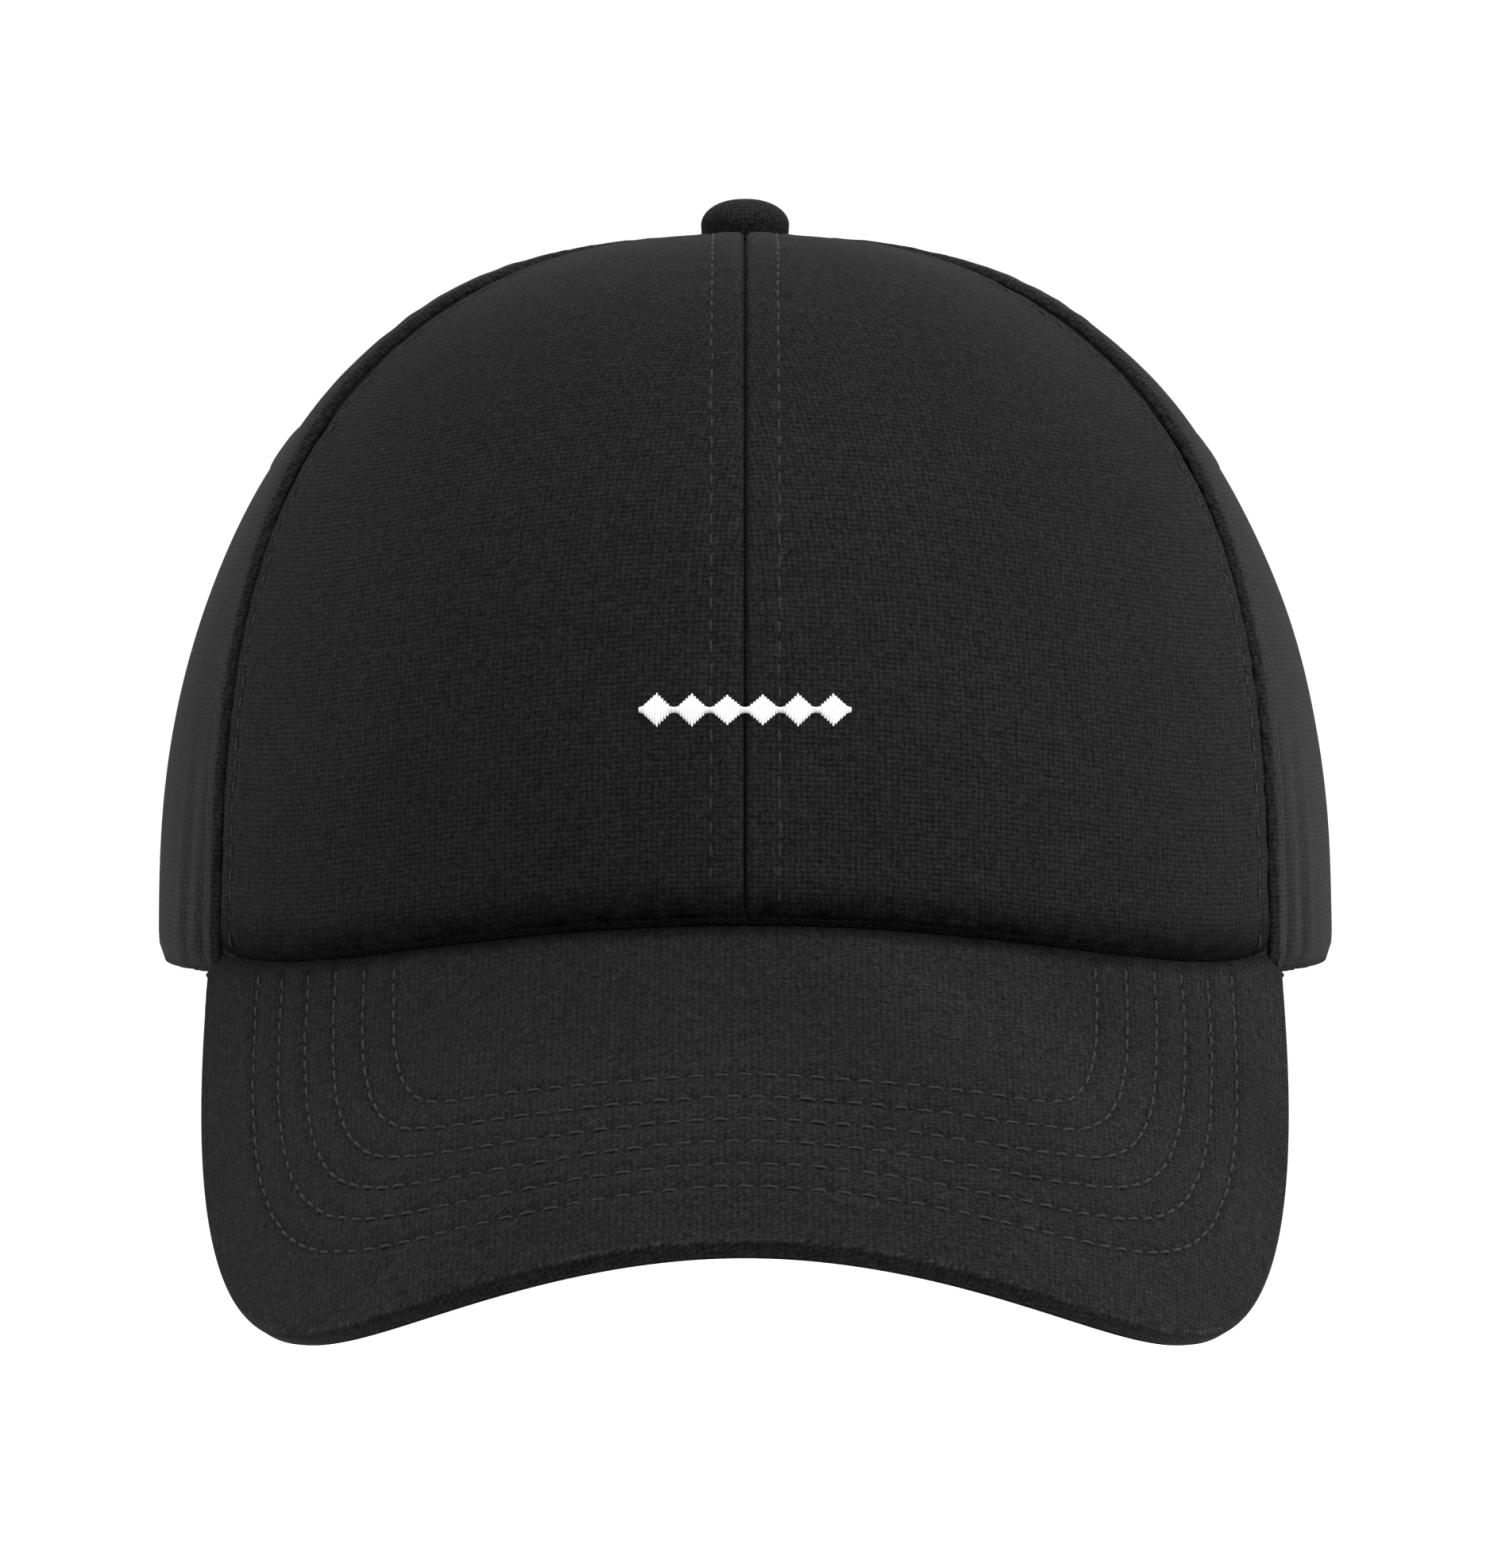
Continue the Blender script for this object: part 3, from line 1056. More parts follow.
def visor_end(side):
    """The cloth folded over a blunt end of the visor: a strip from the upper cloth's level
    to the under one's, bowed out in a shallow half round, from the crown to the corner."""
    along = edged(1.0, 40, 0.15, 6)[:, None]
    across = edged(1.0, 12, 0.2, 3)[None, :]
    b, drop = along + 0 * across, 0.2 + 2.7 * across + 0 * along
    a = side * np.ones(b.shape)
    fold = roll(b * 9, 0.3) * roll((1 - b) * 9, 0.3) * roll(drop - 0.2, 0.35) * roll(2.9 - drop, 0.35)
    close_rim(fold)
    faces = []
    for way in (1, -1):
        u, s = pattern_point(a, b, 0.0, drop)
        out = 0.05 + 0.3 * np.sin(np.pi * across) ** 0.7 + way * 0.2 * fold
        faces.append(visor_point(u + side * out, s, drop))
    return faces[0], faces[1], np.stack([b * 14, drop], -1)


def visor_root():
    """The cloth folded round the board's root inside the crown: a strip from the upper
    cloth's level to the under one's, standing back 0.25 mm and half as much again in the middle."""
    a = (edged(2.0, 200, 0.06, 8) - 1)[None, :]
    across = edged(1.0, 12, 0.2, 3)[:, None]
    grid, drop = a + 0 * across, 0.2 + 2.7 * across + 0 * a
    fold = roll((1 - np.abs(grid)) * 90, 0.3) * roll(drop - 0.2, 0.35) * roll(2.9 - drop, 0.35)
    close_rim(fold)
    faces = []
    for way in (-1, 1):
        u, s = root_at(grid, drop)
        faces.append(visor_point(u, s - 0.2 - 0.1 * np.sin(np.pi * across) - way * 0.15 * fold, drop))
    return faces[1], faces[0], np.stack([grid * 90, drop], -1)


def pattern_row(row, drop, side):
    """A visor stitch row as points and normals, on the upper side or the under side."""
    u, s = row
    points = visor_point(u, s, drop)
    normal = unit(visor_point(u, s, drop - 1) - visor_point(u, s, drop + 1)) * side
    return points, normal


# ---- Small sewn and machined pieces ----

def band_sheet(name, place, columns, rows, depth, thick, body, slot, look, node, wear=None, relief=None,
               edge_round=0.5, long_edges=None):
    """A flat cloth whose points come from place(share along, share across, depth)."""
    length, wide = long_edges
    x = edged(length, columns, 3.0, 5)[None, :] + np.zeros((rows + 1, 1))
    y = edged(wide, rows, min(4.0, wide * 0.3), 6)[:, None] + 0 * x
    fold = roll(x, edge_round) * roll(length - x, edge_round) * roll(y, edge_round) * roll(wide - y,
        edge_round)
    close_rim(fold)
    height = 0 if relief is None else relief(x, y)
    middle = depth + thick / 2 - height
    outer = place(x / length, y / wide, middle - thick / 2 * fold)
    inner = place(x / length, y / wide, middle + thick / 2 * fold)
    worn = None if wear is None else wear(x, y)
    return cloth_sheet(name, outer, inner, np.stack([x, y], -1), body, slot, MATERIALS[look], node, worn)


def satin_bars(low, high, up, width, loft):
    """Parallel bars of thread from low to high points, each a capsule that arches by loft
    in its middle and dives in at both ends."""
    share = np.array([0.0, 0.1, 0.3, 0.5, 0.7, 0.9, 1.0])
    girth = np.array([0.45, 0.9, 1.0, 1.0, 1.0, 0.9, 0.45]) * width / 2
    arch = loft * np.sin(np.pi * share) ** 0.6 - np.array([0.25, 0.1, 0, 0, 0, 0.1, 0.25])
    ahead = unit(high - low)
    across = unit(np.cross(ahead, up))
    centre = mix(low[:, None], high[:, None], share[None, :, None]) + up[:, None] * arch[None, :, None]
    turn = np.arange(6) / 6 * TAU
    ring = np.cos(turn)[None, :, None] * across[:, None] + np.sin(turn)[None, :, None] * up[:, None]
    return centre[:, :, None] + ring[:, None] * girth[None, :, None, None]


def machined(name, node, body, look, edge):
    """A metal piece: the frame's own solid, welded, with its edges broken by a small bevel."""
    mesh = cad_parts[node].data.copy()
    mesh.name = name
    piece = bpy.data.objects.new(name, mesh)
    bpy.context.scene.collection.objects.link(piece)
    weld = piece.modifiers.new("Weld", "WELD")
    weld.merge_threshold = 0.00002
    joined = applied_mesh(piece)
    piece.data = joined
    joined.materials.clear()
    joined.materials.append(MATERIALS[look])
    bevel = piece.modifiers.new("Broken edges", "BEVEL")
    bevel.width, bevel.segments = edge * MM, 2
    bevel.limit_method, bevel.angle_limit = "ANGLE", np.radians(32)
    joined.polygons.foreach_set("use_smooth", np.ones(len(joined.polygons), bool))
    joined.set_sharp_from_angle(angle=np.radians(40))
    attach(piece, body)
    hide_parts(node)
    return piece


def button_dome(pleats, seed):
    """The covered button: rings whose radius follows a flattened ellipse above its widest
    line and curves in below it, with small pleats that grow towards the foot."""
    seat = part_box("top_button")[0].z / MM - 0.5
    rise = BUTTON_HEIGHT + 0.95
    widest = 0.40 * rise
    up = np.linspace(np.pi / 2 * 0.999, 0, 22)
    down = np.linspace(0, -np.pi / 2 * 0.82, 12)[1:]
    top_r, top_z = np.cos(up) ** 0.86, widest + (rise - widest) * np.sin(up) ** 1.05
    low_r, low_z = 0.93 + 0.07 * np.cos(down), widest + widest * np.sin(down)
    foot = np.linspace(1, 0.12, 7)
    radius = np.concatenate([top_r, low_r, (0.93 + 0.07 * np.cos(down[-1])) * foot]) * BUTTON_RADIUS
    height = np.concatenate([top_z, low_z, np.full(7, max(low_z[-1], 0.0))])
    turn = np.arange(144) / 144 * TAU
    share = np.clip((rise - height) / rise, 0, 1)[:, None]
    fold = 0.10 * share**2 * np.abs(np.sin(turn * pleats / 2))[None, :] + 0.05 * waves(
        seed, turn[None, :] * 6, height[:, None], 9.0, 3.0)
    fold = fold * np.minimum(radius / BUTTON_RADIUS, 1)[:, None]
    r = radius[:, None] - 0.12 - fold
    points = np.stack([r * np.cos(turn), APEX_Y + r * np.sin(turn), seat + height[:, None] + 0 * r], -1)
    run = np.concatenate([[0], np.cumsum(np.hypot(np.diff(radius), np.diff(height)))])
    uv = np.stack([run[:, None] * np.cos(turn), run[:, None] * np.sin(turn)], -1)
    worn = 0.2 * ridge(np.linspace(0, 1, len(radius)), 0.35, 0.2)[:, None] + 0 * r
    return points, uv, worn


def eyelet_ring(angle, side):
    """An eyelet: a closed profile (outer flange, bore, inner flange) carried round the hole,
    with a ridge for each radial stitch of thread."""
    place, normal, one, two = eyelet_axes(angle, side)
    top, foot = 0.55, -(PANEL + 0.55)
    profile = np.array([
        (EYELET_BORE, -0.5), (EYELET_BORE + 0.02, 0.1), (EYELET_BORE + 0.3, top - 0.1),
        (EYELET_BORE + 0.9, top),
        (EYELET_FLANGE - 0.6, top - 0.12), (EYELET_FLANGE - 0.1, top - 0.35), (EYELET_FLANGE, 0.05),
        (EYELET_FLANGE - 0.3, -0.12), (EYELET_BORE + 0.5, -0.12), (EYELET_BORE + 0.5, -PANEL + 0.12),
        (EYELET_FLANGE - 0.3, -PANEL + 0.12), (EYELET_FLANGE, -PANEL - 0.05),
        (EYELET_FLANGE - 0.1, foot + 0.3),
        (EYELET_FLANGE - 0.6, foot + 0.12), (EYELET_BORE + 0.9, foot), (EYELET_BORE + 0.3, foot + 0.1)])
    turn = np.arange(288) / 288 * TAU
    ridge_height = 0.11 * np.abs(np.sin(turn * 24)) ** 0.7 - 0.05
    middle = np.array([(EYELET_BORE + EYELET_FLANGE) / 2, -PANEL / 2])
    away = unit(profile - middle)
    shape = profile[None] + away[None] * ridge_height[:, None, None]
    out = np.cos(turn)[:, None] * one + np.sin(turn)[:, None] * two
    points = place + out[:, None] * shape[..., :1] + normal * shape[..., 1:]
    run = np.concatenate([[0], np.cumsum(np.linalg.norm(np.diff(profile, axis=0), axis=1))])
    uv = np.stack([run[None, :] + 0 * turn[:, None], turn[:, None] * 3.3 + 0 * run[None, :]], -1)
    return points, uv


# ---- What a user may change ----

def length(name, description, millimetres):
    return FloatProperty(name=name, description=description, default=millimetres * MM, min=0.0,
                         unit="LENGTH", subtype="DISTANCE", precision=5)


def colour(name, description, value):
    return FloatVectorProperty(name=name, description=description, default=value, size=3, min=0.0,
                               max=1.0, subtype="COLOR")


class CapSewing(bpy.types.PropertyGroup):
    """Sizes of the stitching and of the cloth's relief."""

    seam_row: length("Seam row", "Distance of a crown stitch row from its seam", 4.6)
    seam_stitch: length("Seam stitch", "Length of a stitch along the crown's seams", 2.3)
    seam_gap: length("Seam gap", "Gap between those stitches", 0.75)
    seam_thread: length("Seam thread", "Width of the thread in the crown's seams", 0.4)
    visor_first: length("First visor row", "Distance of the outermost visor row from the edge", 11.6)
    visor_spacing: length("Visor row spacing", "Distance between visor rows", 4.885)
    visor_stitch: length("Visor stitch", "Length of a stitch on the visor", 2.5)
    visor_gap: length("Visor gap", "Gap between stitches on the visor", 0.65)
    visor_thread: length("Visor thread", "Width of the thread on the visor", 0.44)
    motif_thread: length("Motif thread", "Width of the motif's bars of thread", 0.42)
    visor_rows: IntProperty(name="Visor rows", description="Number of stitch rows on the visor",
                            default=6, min=1, max=9)
    button_pleats: IntProperty(name="Button pleats", description="Small pleats round the button's foot",
                               default=22, min=4, max=60)


class CapColours(bpy.types.PropertyGroup):
    """Dye and metal colours."""

    crown: colour("Crown", "Dye of the crown and strap", (0.0062, 0.0062, 0.0063))
    visor: colour("Visor", "Dye of the visor", (0.0068, 0.0068, 0.0069))
    lining: colour("Lining", "Dye of the tapes and sweatband", (0.0075, 0.0075, 0.0077))
    thread: colour("Thread", "Thread of the crown's seams", (0.0165, 0.0165, 0.0167))
    visor_thread: colour("Visor thread", "Thread of the visor's rows", (0.018, 0.018, 0.0183))
    motif: colour("Motif", "Thread of the front motif", (0.86, 0.86, 0.85))
    label: colour("Label", "Ribbon of the blank label", (0.78, 0.78, 0.76))
    buckram: colour("Buckram", "Stiffener behind the front panels", (0.05, 0.05, 0.051))
    buckle: colour("Buckle", "Plating of the buckle", (0.24, 0.22, 0.2))
    steel: colour("Steel", "Pin, washer and rivet", (0.5, 0.5, 0.5))
    board: colour("Board", "Moulded board in the visor", (0.7, 0.7, 0.67))


def sewn(context):
    return context.scene.cap_sewing


def seam_stitches(context, path, normal, seed, lift=0.0):
    size = sewn(context)
    return stitch_points(path, normal, size.seam_stitch / MM, size.seam_gap / MM, size.seam_thread / MM,
                         seed, lift=lift)


class CAP_OT_finishes(bpy.types.Operator):
    """Makes the cloth, thread and metal finishes"""

    bl_idname = "cap.finishes"
    bl_label = "Finishes"
    bl_options = {"REGISTER", "UNDO"}

    def execute(self, context):
        prepare_materials(context.scene.cap_colours)
        return {"FINISHED"}


class CAP_OT_stage(bpy.types.Operator):
    """Makes the camera, the pale floor and the soft studio light"""

    bl_idname = "cap.stage"
    bl_label = "Stage"
    bl_options = {"REGISTER", "UNDO"}

    def execute(self, context):
        scene = context.scene
        scene.view_settings.view_transform = "Standard"
        tilt, high, distance = np.radians(1.403), 0.025427, 1.0
        camera = bpy.data.objects.new("camera", bpy.data.cameras.new("camera"))
        camera.data.lens, camera.data.sensor_width = 155.0, 36.0
        camera.data.clip_start, camera.data.clip_end = 0.05, 50.0
        camera.location = (0, -distance * np.cos(tilt), high + distance * np.sin(tilt))
        camera.rotation_euler = (np.pi / 2 - tilt, 0, 0)
        scene.collection.objects.link(camera)
        scene.camera = camera
        world = bpy.data.worlds.new("studio")
        world.use_nodes = True
        world.node_tree.nodes["Background"].inputs["Color"].default_value = (1, 1, 1, 1)
        world.node_tree.nodes["Background"].inputs["Strength"].default_value = 1.12
        scene.world = world
        for name, place, size, power in (
            ("top light", (0.35, -0.25, 1.3), 1.1, 20.0),
            ("right light", (1.2, -0.7, 0.5), 0.9, 11.0),
            ("left light", (-1.3, 0.2, 0.5), 0.9, 4.0),
            ("back light", (0.1, 1.3, 0.9), 1.0, 5.0),
        ):
            lamp = bpy.data.objects.new(name, bpy.data.lights.new(name, "AREA"))
            lamp.data.size, lamp.data.energy = size, power
            spot = np.array(place)
            lamp.location = spot
            aim = unit(np.array([0, -0.02, 0.03]) - spot)
            lamp.rotation_euler = (np.arccos(-aim[2]), 0, np.arctan2(-aim[0], aim[1]))
            scene.collection.objects.link(lamp)
        half = 12.0
        k = np.linspace(-half, half, 25)
        x, y = np.meshgrid(k, k)
        grid = np.arange(x.size).reshape(x.shape)
        floor = bpy.data.meshes.new("floor")
        floor.from_pydata(np.stack([x, y, -0.2 + 0 * x], -1).reshape(-1, 3).tolist(), [],
                          sides_of(grid).tolist())
        paper = Nodes("floor paper")
        mottle = paper.noise(paper.on_body(), 3.0)
        floor.materials.append(paper.finish(Base_Color=paper.tint((0.95, 0.95, 0.95, 1),
            paper.ramp(mottle, 0, 1, 1.0, 1.05)), Roughness=0.9))
        stand = bpy.data.objects.new("floor", floor)
        scene.collection.objects.link(stand)
        return {"FINISHED"}


class CAP_OT_front_panels(bpy.types.Operator):
    """Sews the two buckram-backed front panels"""

    bl_idname = "cap.front_panels"
    bl_label = "Front panels"
    bl_options = {"REGISTER", "UNDO"}

    def execute(self, context):
        relief = dict(row_a=4.6, row_b=4.2, lift_a=0.2, lift_b=0.12, dip=0.28, extra=front_foot, soil=0.9,
                      edge_a=0.15, edge_b=-0.5)
        for side, word, seed in ((1, "left", 11), (-1, "right", 23)):
            crown_panel("front_panel_cloth_" + word, centre_front, front_seam, rim_height, side, relief,
                        seed, "crown", 0.12, "front_panel_" + word)
        return {"FINISHED"}


class CAP_OT_side_panels(bpy.types.Operator):
    """Sews the two soft side panels, with their eyelet holes"""

    bl_idname = "cap.side_panels"
    bl_label = "Side panels"
    bl_options = {"REGISTER", "UNDO"}

    def execute(self, context):
        relief = dict(row_a=4.6, row_b=4.6, lift_a=0.6, lift_b=0.3, dip=0.32, extra=side_gathers, soil=0.1,
                      edge_a=0.1, edge_b=0.2)
        for side, word, seed in ((1, "left", 31), (-1, "right", 47)):
            piece = crown_panel("side_panel_cloth_" + word, front_seam, back_seam, level_rim, side, relief,
                                seed, "crown_soft", 0.2, "side_panel_" + word)
            pierce(piece, EYELET_ANGLES[0], side, 3.0)
        return {"FINISHED"}


class CAP_OT_back_panels(bpy.types.Operator):
    """Sews the two back panels over the arched opening, with their eyelet holes"""

    bl_idname = "cap.back_panels"
    bl_label = "Back panels"
    bl_options = {"REGISTER", "UNDO"}

    def execute(self, context):
        for side, word, seed in ((1, "left", 53), (-1, "right", 67)):
            piece = back_panel("back_panel_cloth_" + word, side, seed, "back_panel_" + word)
            pierce(piece, EYELET_ANGLES[1], side, 3.0)
        return {"FINISHED"}


class CAP_OT_crown_stitching(bpy.types.Operator):
    """Sews the twin rows beside every crown seam and round the back arch"""

    bl_idname = "cap.crown_stitching"
    bl_label = "Crown stitching"
    bl_options = {"REGISTER", "UNDO"}

    def execute(self, context):
        row = sewn(context).seam_row / MM
        foot = rim_height(0.0) + 1.5
        plans = {
            "stitching_front_centre": [(centre_front, row, foot, 1), (centre_front, row, foot, -1)],
            "stitching_front_side": [(front_seam, o, 2.5, s) for s in (1, -1) for o in (row, -4.2)],
            "stitching_back_side": [(back_seam, o, 1.5, s) for s in (1, -1) for o in (row, -row)],
            "stitching_back_centre": [(centre_back, -row, OPENING_HEIGHT + 8, s) for s in (1, -1)],
        }
        for number, (name, rows) in enumerate(plans.items()):
            made = []
            for k, (seam, offset, low, side) in enumerate(rows):
                path, normal = mirrored_row(seam_row(seam, offset, low, -0.2), side)
                made.append(seam_stitches(context, path, normal, 10 * number + k, 0.05))
            add_stitches(name, made, "cap", "crown_cloth", MATERIALS["thread"])
        made = []
        for k, grow in enumerate((1.8, 6.6)):
            angle, t = arch_point(np.linspace(0, np.pi, 500), grow)
            made.append(seam_stitches(context, crown_point(angle, t, 0.14 + 0 * t),
                                      crown_normal(angle, t), 70 + k, 0.08))
        add_stitches("stitching_arch", made, "cap", "crown_cloth", MATERIALS["thread"])
        return {"FINISHED"}


class CAP_OT_eyelets(bpy.types.Operator):
    """Works the four stitched eyelets"""

    bl_idname = "cap.eyelets"
    bl_label = "Eyelets"
    bl_options = {"REGISTER", "UNDO"}

    def execute(self, context):
        for angle, word in zip(EYELET_ANGLES, ("side", "back")):
            for side, hand in ((1, "left"), (-1, "right")):
                points, uv = eyelet_ring(angle, side)
                tube_loop(f"eyelet_thread_{word}_{hand}", points, uv, "cap", "eyelet_thread",
                          MATERIALS["eyelet"], (f"eyelet_{word}_{hand}",), closed_rows=True)
        return {"FINISHED"}


class CAP_OT_button(bpy.types.Operator):
    """Covers the top button, and dresses its washer and rivet"""

    bl_idname = "cap.button"
    bl_label = "Top button"
    bl_options = {"REGISTER", "UNDO"}

    def execute(self, context):
        points, uv, worn = button_dome(sewn(context).button_pleats, 5)
        tube_loop("top_button_cover", points, uv, "cap", "crown_cloth", MATERIALS["button"],
                  ("top_button",), wear=worn)
        machined("top_washer", "button_washer", "cap", "steel", 0.12)
        machined("top_rivet", "button_rivet", "cap", "steel", 0.12)
        return {"FINISHED"}


class CAP_OT_visor(bpy.types.Operator):
    """Covers the visor board in quilted cloth, with its stitch rows above and below"""

    bl_idname = "cap.visor"
    bl_label = "Visor"
    bl_options = {"REGISTER", "UNDO"}

    def execute(self, context):
        size = sewn(context)
        rows = visor_rows(size.visor_first / MM, size.visor_spacing / MM, size.visor_rows)
        visor_cover("visor_cloth_top", rows, False, "visor_cover_top", 81)
        visor_cover("visor_cloth_under", rows, True, "visor_cover_under", 93)
        for name, drop, way in (("visor_stitching_top", 0.24, 1),
                                ("visor_stitching_under", VISOR_THICK - 0.24, -1)):
            made = []
            for k, line in enumerate(rows):
                path, normal = pattern_row(line, drop, way)
                made.append(stitch_points(path, normal, size.visor_stitch / MM, size.visor_gap / MM,
                                          size.visor_thread / MM, 100 + k + way, lift=0.06))
            add_stitches(name, made, "cap", "visor_cloth", MATERIALS["visor_thread"])
        for side, word in ((1, "left"), (-1, "right")):
            outer, inner, uv = visor_end(side)
            cloth_sheet("visor_end_" + word, outer, inner, uv, "cap", "visor_cloth", MATERIALS["visor"])
        outer, inner, uv = visor_root()
        cloth_sheet("visor_root_fold", outer, inner, uv, "cap", "visor_cloth", MATERIALS["visor"])
        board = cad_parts["visor_board"]
        board.data.materials.clear()
        board.data.materials.append(MATERIALS["board"])
        return {"FINISHED"}


class CAP_OT_lining(bpy.types.Operator):
    """Lays the buckram and the folded tapes inside the crown"""

    bl_idname = "cap.lining"
    bl_label = "Lining"
    bl_options = {"REGISTER", "UNDO"}

    def execute(self, context):
        flips = ((1, "left"), (-1, "right"))
        for side, word in flips:
            angle, t, near_a, near_b, above = crown_grid(centre_front, front_seam,
                                                         lambda a: rim_height(a) + 1.5, BUCKRAM_TOP, 60,
                                                         80, 3.0, 5)
            fold = roll(near_a, 0.3) * roll(near_b, 0.3) * roll(above, 0.3) * roll(above[-1] - above, 0.3)
            close_rim(fold)
            middle = BUCKRAM_DEPTH + BUCKRAM / 2 + 0.05 * waves(7, near_a, above, 40, 15)
            flip = mirrored(side)
            outer = crown_point(angle, t, middle - BUCKRAM / 2 * fold) * flip
            inner = crown_point(angle, t, middle + BUCKRAM / 2 * fold) * flip
            cloth_sheet("buckram_" + word, outer, inner, np.stack([near_a, above], -1), "cap", "buckram",
                        MATERIALS["buckram"], ("front_buckram_" + word,))
        foot = rim_height(0.0) + 8
        high = OPENING_HEIGHT + BINDING_WIDTH + 0.25
        tapes = [("front_centre", centre_front, foot, FRONT_TAPE_DEPTH, 1),
                 ("back_centre", centre_back, high, TAPE_DEPTH, 1)]
        for side, word in flips:
            tapes.append(("front_side_" + word, front_seam, foot, FRONT_TAPE_DEPTH, side))
            tapes.append(("back_side_" + word, back_seam, 8.0, TAPE_DEPTH, side))
        feet = {"front_centre": rim_height(0.0) + 0.3, "back_centre": OPENING_HEIGHT + 0.7}
        for name, seam, _, _, side in tapes:
            foot = feet.get(name, 0.6)
            outer, inner, uv = strip(seam, foot, APEX_HOLE + 1.2, 8.0, PANEL + 0.06, 0.35, 14, 90,
                                     allowance_relief)
            flip = mirrored(side)
            cloth_sheet("seam_allowance_" + name, outer * flip, inner * flip, uv, "cap", "crown_cloth",
                        MATERIALS["crown_soft"])
        made = []
        for k, (name, seam, low, depth, side) in enumerate(tapes):
            outer, inner, uv = strip(seam, low, TAPE_TOP - 1.6, TAPE_WIDTH, depth, TAPE, 26, 110,
                                     tape_relief)
            flip = mirrored(side)
            cloth_sheet("tape_" + name, outer * flip, inner * flip, uv, "cap", "tape", MATERIALS["tape"],
                        ("seam_tape_" + name,))
            for offset in (4.6, -4.6):
                path, normal = mirrored_row(seam_row(seam, offset, low + 2, 0.0, depth + TAPE - 0.1, 9.0),
                                            side)
                made.append(seam_stitches(context, path, -normal, 200 + 2 * k + (offset > 0)))
        add_stitches("stitching_tapes", made, "cap", "tape", MATERIALS["thread"])
        at = lambda along, across, depth: crown_point(
            *arch_point(np.pi * along, 0.4 + (BINDING_WIDTH - 0.4) * across), depth)
        band_sheet("arch_binding", at, 150, 16, PANEL + LAYER_GAP, BINDING, "cap", "tape", "tape",
                   ("back_opening_binding",), edge_round=0.3, long_edges=(125.0, 7.6),
                   relief=lambda x, y: -0.1 * ridge(y, 1.4, 0.5) - 0.1 * ridge(y, 6.2, 0.5))
        made = []
        for k, grow in enumerate((1.8, 6.6)):
            angle, t = arch_point(np.linspace(0.02, np.pi - 0.02, 400), grow)
            depth = PANEL + LAYER_GAP + BINDING - 0.1
            made.append(seam_stitches(context, crown_point(angle, t, depth + 0 * t),
                                      -crown_normal(angle, t), 230 + k))
        add_stitches("stitching_binding", made, "cap", "tape", MATERIALS["thread"])
        return {"FINISHED"}


class CAP_OT_sweatband(bpy.types.Operator):
    """Sets the sweatband and the blank label"""

    bl_idname = "cap.sweatband"
    bl_label = "Sweatband"
    bl_options = {"REGISTER", "UNDO"}

    def execute(self, context):
        end = face_coordinates(OPENING_HALF + BAND_SETBACK, 0.0, True)[0]
        run = 520.0

        def place(along, across, depth):
            angle = mix(-end, end, along)
            low = rim_height(angle) * (1 - smooth((np.abs(angle) / np.radians(FRONT_SEAM) - 0.8) / 0.2))
            return band_point(angle, low + GAP + BAND_HEIGHT * across, depth)

        def relief(x, y):
            return 0.12 * waves(61, x, y, 40.0, 14.0) * smooth(y / 6) * smooth((BAND_HEIGHT - y) / 6)

        band_sheet("sweatband_cloth", place, 380, 34, 0.0, SWEATBAND, "cap", "sweatband_cloth", "sweatband",
                   ("sweatband",), relief=relief, edge_round=0.6, long_edges=(run, BAND_HEIGHT),
                   wear=lambda x, y: 0.25 * ridge(y, 0.5, 0.8) + 0.25 * ridge(y, 31.5, 0.8))
        made = []
        for k, share in enumerate((3.2 / 32, 29.0 / 32)):
            along = np.linspace(0.004, 0.996, 1800)
            path = place(along, share + 0 * along, SWEATBAND - 0.05)
            ahead = np.gradient(path, axis=0)
            up = place(along, share + 0.02 + 0 * along, SWEATBAND) - place(along,
                share - 0.02 + 0 * along, SWEATBAND)
            normal = unit(np.cross(ahead, up))
            inward = -unit(np.stack([path[:, 0], path[:, 1], 0 * path[:, 0]], -1))
            normal *= np.sign((normal * inward).sum(1, keepdims=True))
            made.append(seam_stitches(context, path, normal, 240 + k))
        add_stitches("stitching_sweatband", made, "cap", "sweatband_cloth", MATERIALS["thread"])

        def tag(along, across, depth):
            angle = np.radians(mix(*LABEL_ANGLES, along))
            return band_point(angle, mix(*LABEL_HEIGHTS, across), SWEATBAND + LAYER_GAP + depth)

        band_sheet("blank_label", tag, 50, 40, 0.0, LABEL, "cap", "label", "label", ("care_label",),
                   edge_round=0.25, long_edges=(24.0, 22.0),
                   relief=lambda x, y: 0.12 * waves(71, x, y, 30.0, 12.0) + 0.1 * ridge(y, 20.6, 0.5))
        along = np.linspace(0.03, 0.97, 120)
        made = []
        for share in (0.93, 0.07):
            path = tag(along, share + 0 * along, LABEL - 0.05)
            normal = tag(along, share + 0 * along, LABEL + 1.0) - path
            made.append(seam_stitches(context, path, unit(normal), 250))
        add_stitches("stitching_label", made, "cap", "label", MATERIALS["label"])
        return {"FINISHED"}


